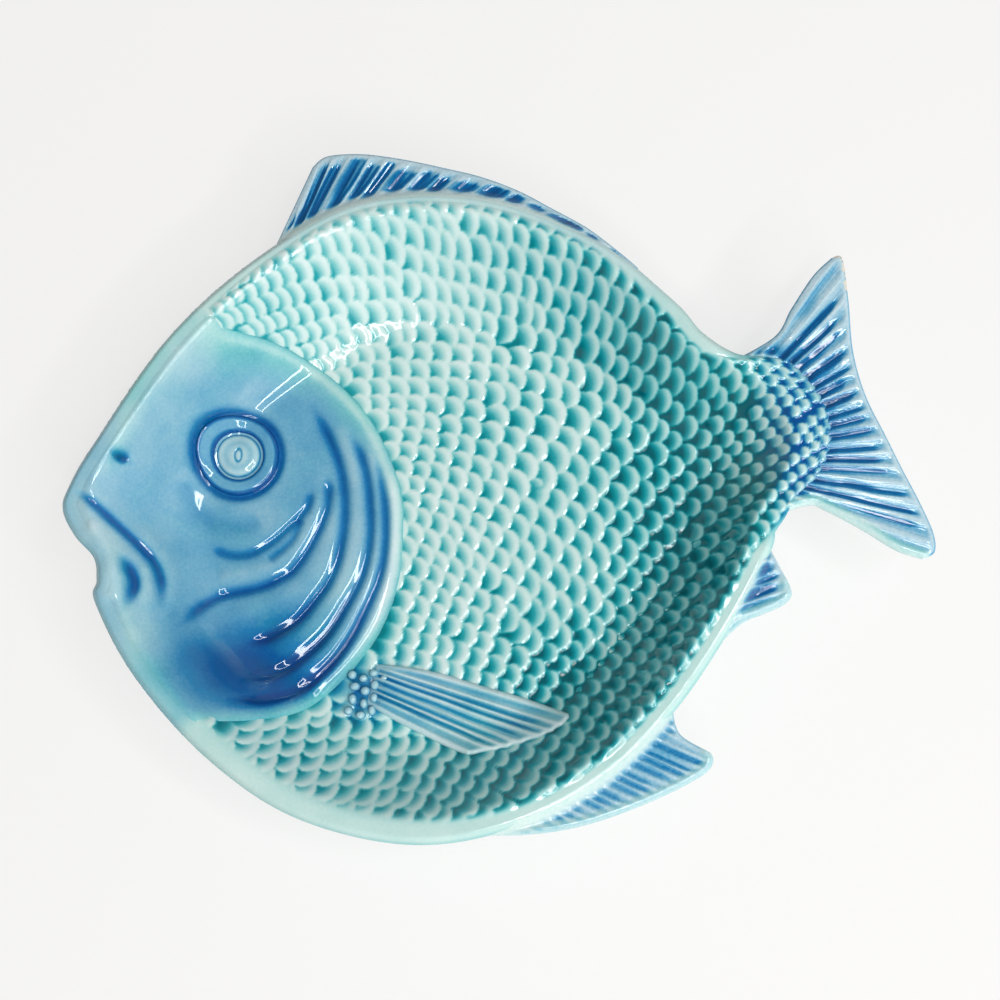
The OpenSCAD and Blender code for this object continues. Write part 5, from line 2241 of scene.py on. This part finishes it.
@dataclass
class SideFin:
    """The fin laid over the flank, and the beads at its root."""

    surface: Surface
    rays: int = 8
    base: float = 0.4 * MM
    thickness: float = 3.4 * MM
    ray_height: float = 0.9 * MM
    edge_round: float = 2.4 * MM
    notch: float = 0.6 * MM
    size: Size = (200, 200)
    bead_faces: Size = (36, 20)
    bead_level: float = 1.4 * MM
    bead_height: float = 2.1 * MM
    fan: Place = (-0.45, -0.086)
    root: tuple[Place, ...] = ((-0.160, -0.234), (-0.176, -0.29))
    tip: tuple[Place, ...] = (
        (0.064, -0.335), (0.065, -0.344), (0.054, -0.354), (0.035, -0.364), (0.005, -0.372),
        (-0.022, -0.377), (-0.058, -0.380),
    )
    upper: tuple[Place, ...] = ((-0.13, -0.241), (-0.083, -0.257), (-0.037, -0.28), (0.02, -0.308))
    lower: tuple[Place, ...] = ((-0.143, -0.319), (-0.109, -0.345), (-0.078, -0.368))
    beads: tuple[tuple[float, float, float], ...] = (
        (-0.189, -0.247, 1.7), (-0.187, -0.264, 1.8), (-0.191, -0.282, 1.8), (-0.176, -0.254, 1.6),
        (-0.175, -0.272, 1.8), (-0.178, -0.290, 1.7), (-0.163, -0.248, 1.6), (-0.163, -0.265, 1.8),
        (-0.165, -0.283, 1.7), (-0.151, -0.257, 1.5), (-0.150, -0.274, 1.6), (-0.197, -0.298, 1.7),
        (-0.183, -0.306, 1.7), (-0.169, -0.301, 1.6),
    )

    def build(self, finishes: Finishes) -> None:
        """Builds the fin and its beads and dresses them.

        Args:
            finishes: The finishes.
        """
        form = self.surface.form
        root = form.sized(self.root)
        tip = evened(smooth_line(form.sized(self.tip), False, 12))
        away = tip - form.sized(self.fan)
        valley = 0.5 + 0.5 * np.cos(TURN * self._places(*tip.T))
        ends = np.sin(math.pi * np.linspace(0, 1, len(tip))) ** 0.3
        tip = tip - away / np.hypot(*away.T)[:, None] * (self.notch * valley * ends)[:, None]
        upper = smooth_line(np.concatenate([root[:1], form.sized(self.upper), tip[:1]]), False, 12)
        lower = smooth_line(np.concatenate([root[1:], form.sized(self.lower), tip[-1:]]), False, 12)
        patch = Patch(upper, lower, root, tip)
        border = patch.border(160, with_low=True)
        streaks = Streaks(self.rays, 0.0, 11)
        piece = Modeller.shell(
            "side_fin_ribbed", self.size, lambda u, v: self._top(patch, border, streaks, u, v),
            lambda u, v: self._bottom(patch, u, v), 2,
        )
        finishes.dress(piece, "blue_glaze", "side_fin")
        finishes.dress(self._beads(), "blue_glaze", "side_fin_beads")

    def _places(self, x: Array, y: Array) -> Array:
        """Places across the fin counted in rays, from its lower edge to its upper edge.

        Args:
            x: Along the dish.
            y: Across the dish.

        Returns:
            The places.
        """
        form = self.surface.form
        centre = form.sized(self.fan)
        low, high = (np.arctan2(*(form.sized(line[-1]) - centre)[::-1]) for line in (self.tip, self.upper))
        place = self.rays * (np.arctan2(y - centre[1], x - centre[0]) - low) / (high - low)
        return place + 0.16 * np.sin(2.1 * place + 1)

    def _top(self, patch: Patch, border: Array, streaks: Streaks, across: Array, up: Array) -> Pair:
        """Upper face of the fin, with its rays and streaks.

        Args:
            patch: Its border lines.
            border: Points of its free border.
            streaks: The blue between its rays.
            across: Shares across.
            up: Shares up.

        Returns:
            Places, and glaze.
        """
        across, up = crowded(across), crowded(up)
        x, y = patch.at(across, up).T
        gap, _ = line_distance(x, y, border[::2])
        share = np.clip(gap / self.edge_round, 0, 1)
        place = self._places(x, y)
        ribs = (0.5 - 0.5 * np.cos(TURN * place)) ** 1.5
        ribs = np.where((place > self.rays - 0.5) | (place < 0.5), 1.0, ribs)
        inner = ease(gap, 0.6 * MM, 2.6 * MM)
        thick = self.thickness * between(0.3, 1.0, ease(up, 0.0, 0.16))
        z = self.surface.form.height(x, y) + self.base + thick * rounding(share)
        z += self.ray_height * inner * (ribs - 0.7) * hump(up, 0.2)
        z += 0.12 * MM * inner * streaks.brush(place, up)
        pool = 0.08 + (0.34 * (1 - ribs) + 0.32 * streaks.at(place, 0.07 * up, gap)) * inner
        pool += 0.12 * (1 - ease(up, 0.0, 0.3)) + 0.08 * (1 - ease(gap, 0.1 * MM, 1.0 * MM))
        return np.stack([x, y, z], -1), glazed(pool, between(0.85, 0.4, ease(up, 0.3, 1.0)))

    def _bottom(self, patch: Patch, across: Array, up: Array) -> Array:
        """Under face of the fin, in the pits between the scales.

        Args:
            patch: Its border lines.
            across: Shares across.
            up: Shares up.

        Returns:
            The places.
        """
        across, up = crowded(across), crowded(up)
        x, y = patch.at(across, up).T
        return np.stack([x, y, self.surface.form.height(x, y) + 0.15 * MM], -1)

    def _beads(self) -> Object:
        """Builds every bead, each from a ball pressed flat, and joins them.

        Returns:
            The joined object.
        """
        form = self.surface.form
        parts = []
        for k, (sx, sy, radius) in enumerate(self.beads):
            bpy.ops.object.select_all(action="DESELECT")
            segments, rings = self.bead_faces
            bpy.ops.mesh.primitive_uv_sphere_add(segments=segments, ring_count=rings, radius=1)
            part = bpy.context.object
            part.name = f"bead_{k}"
            ball = Modeller.places(part)
            centre = form.sized((sx, sy))
            stretch = 1 + 0.14 * math.sin(2.3 * k)
            x = centre[0] + ball[:, 0] * radius * MM * stretch
            y = centre[1] + ball[:, 1] * radius * MM / stretch
            level = form.height(x, y) + self.bead_level
            Modeller.move(part, np.stack([x, y, level + ball[:, 2] * self.bead_height], -1))
            Modeller.coat(part, glazed(0.54 - 0.34 * ease(ball[:, 2], 0.2, 0.9), 0.8))
            parts.append(part)
        for part in parts:
            part.select_set(True)
        bpy.context.view_layer.objects.active = parts[0]
        bpy.ops.object.join()
        piece = Modeller.finish(parts[0])
        piece.name = piece.data.name = "side_fin_bead_cluster"
        return piece


# The studio


@dataclass
class Studio:
    """Pale table, soft light and the camera of the photograph."""

    look_at: tuple[float, float, float] = (3.8 * MM, -9.9 * MM, 44 * MM)
    distance: float = 0.600
    elevation: float = 78.0
    azimuth: float = 12.0
    roll: float = 5.5
    pixel: float = 0.3468 * MM
    image: int = 1000
    sensor: float = 36.0
    floor_colour: Colour = painted(243, 242, 240)
    floor_size: float = 40.0
    floor_glow: float = 0.74
    glow_colour: Colour = painted(252, 251, 250)
    wall_colour: Colour = painted(236, 240, 244)
    backdrop_colour: Colour = painted(233, 233, 232)
    wall_light: float = 0.84
    far_wall: float = 0.28
    window_way: tuple[float, float, float] = (0.65, -0.76, 0.0)
    ceiling_light: float = 0.24
    window_place: tuple[float, float, float] = (0.35, -0.41, 0.97)
    window_size: Place = (0.60, 0.50)
    window_bar: float = 0.085
    window_power: float = 10.2

    def build(self) -> None:
        """Makes the table, the lights and the camera."""
        self._floor()
        self._light()
        self._camera()

    def _floor(self) -> None:
        """Lays the table top that the dish stands on."""
        bpy.ops.object.select_all(action="DESELECT")
        bpy.ops.mesh.primitive_plane_add(size=self.floor_size)
        floor = bpy.context.object
        floor.name = "table_top"
        made, wiring, shader = new_material("table_white")
        wiring.fill(shader, {"Base Color": self.floor_colour, "Roughness": 0.6})
        glow = wiring.add("Emission", {"Color": self.glow_colour})
        seen = wiring.add("LightPath").outputs["Is Camera Ray"]
        mix = wiring.add("MixShader", {
            "Fac": wiring.math("MULTIPLY", seen, self.floor_glow), 1: shader.outputs["BSDF"],
            2: glow.outputs["Emission"],
        })
        wiring.fill(made.node_tree.nodes["Material Output"], {"Surface": mix.outputs["Shader"]})
        floor.data.materials.append(made)

    def _window(self) -> None:
        """Hangs four bars of light that make the frame of a window facing the dish."""
        middle = Vector(self.window_place)
        turn = (Vector((0, 0, 0.02)) - middle).to_track_quat("-Z", "Y")
        wide, high = self.window_size
        bar = self.window_bar
        for side, shift in (("left", (-wide / 2, 0)), ("right", (wide / 2, 0)),
                            ("low", (0, -high / 2)), ("high", (0, high / 2))):
            size = (bar, high + bar) if shift[0] else (wide - bar, bar)
            data = bpy.data.lights.new("window_bar_" + side, "AREA")
            data.shape = "RECTANGLE"
            data.size, data.size_y = size
            data.energy = self.window_power * size[0] * size[1] / (2 * bar * (wide + high))
            lamp = bpy.data.objects.new(data.name, data)
            bpy.context.scene.collection.objects.link(lamp)
            lamp.location = middle + turn @ Vector((*shift, 0))
            lamp.rotation_mode = "QUATERNION"
            lamp.rotation_quaternion = turn

    def _light(self) -> None:
        """Sets the plain soft light: a pale room, and a window from the lower right."""
        world = bpy.data.worlds.new("pale_room")
        world.use_nodes = True
        wiring = Wiring(world.node_tree)
        way = wiring.add("TexCoord").outputs["Generated"]
        height = wiring.add("SeparateXYZ", {0: way}).outputs["Z"]
        level = wiring.add("MapRange", {
            "Value": height, "From Min": 0.25, "To Min": self.wall_light, "To Max": self.ceiling_light,
        })
        facing = wiring.add("VectorMath", {0: way, 1: self.window_way}, operation="DOT_PRODUCT")
        dimmed = wiring.add("MapRange", {
            "Value": facing.outputs["Value"], "From Min": -1.0, "To Min": self.far_wall,
        })
        strength = wiring.math("MULTIPLY", level.outputs["Result"], dimmed.outputs["Result"])
        ground = world.node_tree.nodes["Background"]
        wiring.fill(ground, {"Color": self.wall_colour, "Strength": strength})
        seen = wiring.add("Background", {"Color": self.backdrop_colour})
        mix = wiring.add("MixShader", {
            "Fac": wiring.add("LightPath").outputs["Is Camera Ray"], 1: ground.outputs["Background"],
            2: seen.outputs["Background"],
        })
        wiring.fill(world.node_tree.nodes["World Output"], {"Surface": mix.outputs["Shader"]})
        bpy.context.scene.world = world
        self._window()

    def _camera(self) -> None:
        """Places the camera from its direction, distance and roll."""
        turn, lift, roll = (math.radians(a) for a in (self.azimuth, self.elevation, self.roll))
        target = Vector(self.look_at)
        back = Vector((math.sin(turn) * math.cos(lift), -math.cos(turn) * math.cos(lift), math.sin(lift)))
        right = (-back).cross(Vector((math.sin(roll), math.cos(roll), 0))).normalized()
        above = right.cross(-back)
        data = bpy.data.cameras.new("photo_camera")
        data.sensor_width = self.sensor
        data.lens = self.sensor * self.distance / (self.image * self.pixel)
        data.clip_start, data.clip_end = 0.01, 50
        camera = bpy.data.objects.new("photo_camera", data)
        bpy.context.scene.collection.objects.link(camera)
        axes = Matrix((right, above, back)).transposed().to_4x4()
        camera.matrix_world = Matrix.Translation(target + back * self.distance) @ axes
        bpy.context.scene.camera = camera
        bpy.context.scene.view_settings.view_transform = "Standard"


def main() -> None:
    """Builds every piece of the dish in order, then the studio."""
    logging.basicConfig(level=logging.INFO, format="%(message)s")
    surface = Surface()
    finishes = Finishes()
    head = Head(surface)
    for piece in (Bowl(surface), FootRing(surface.form), ScaledSkin(surface), head,
                  Eye(surface, head), SideFin(surface), OuterFins(surface)):
        piece.build(finishes)
    Studio().build()


if __name__ == "__main__":
    main()
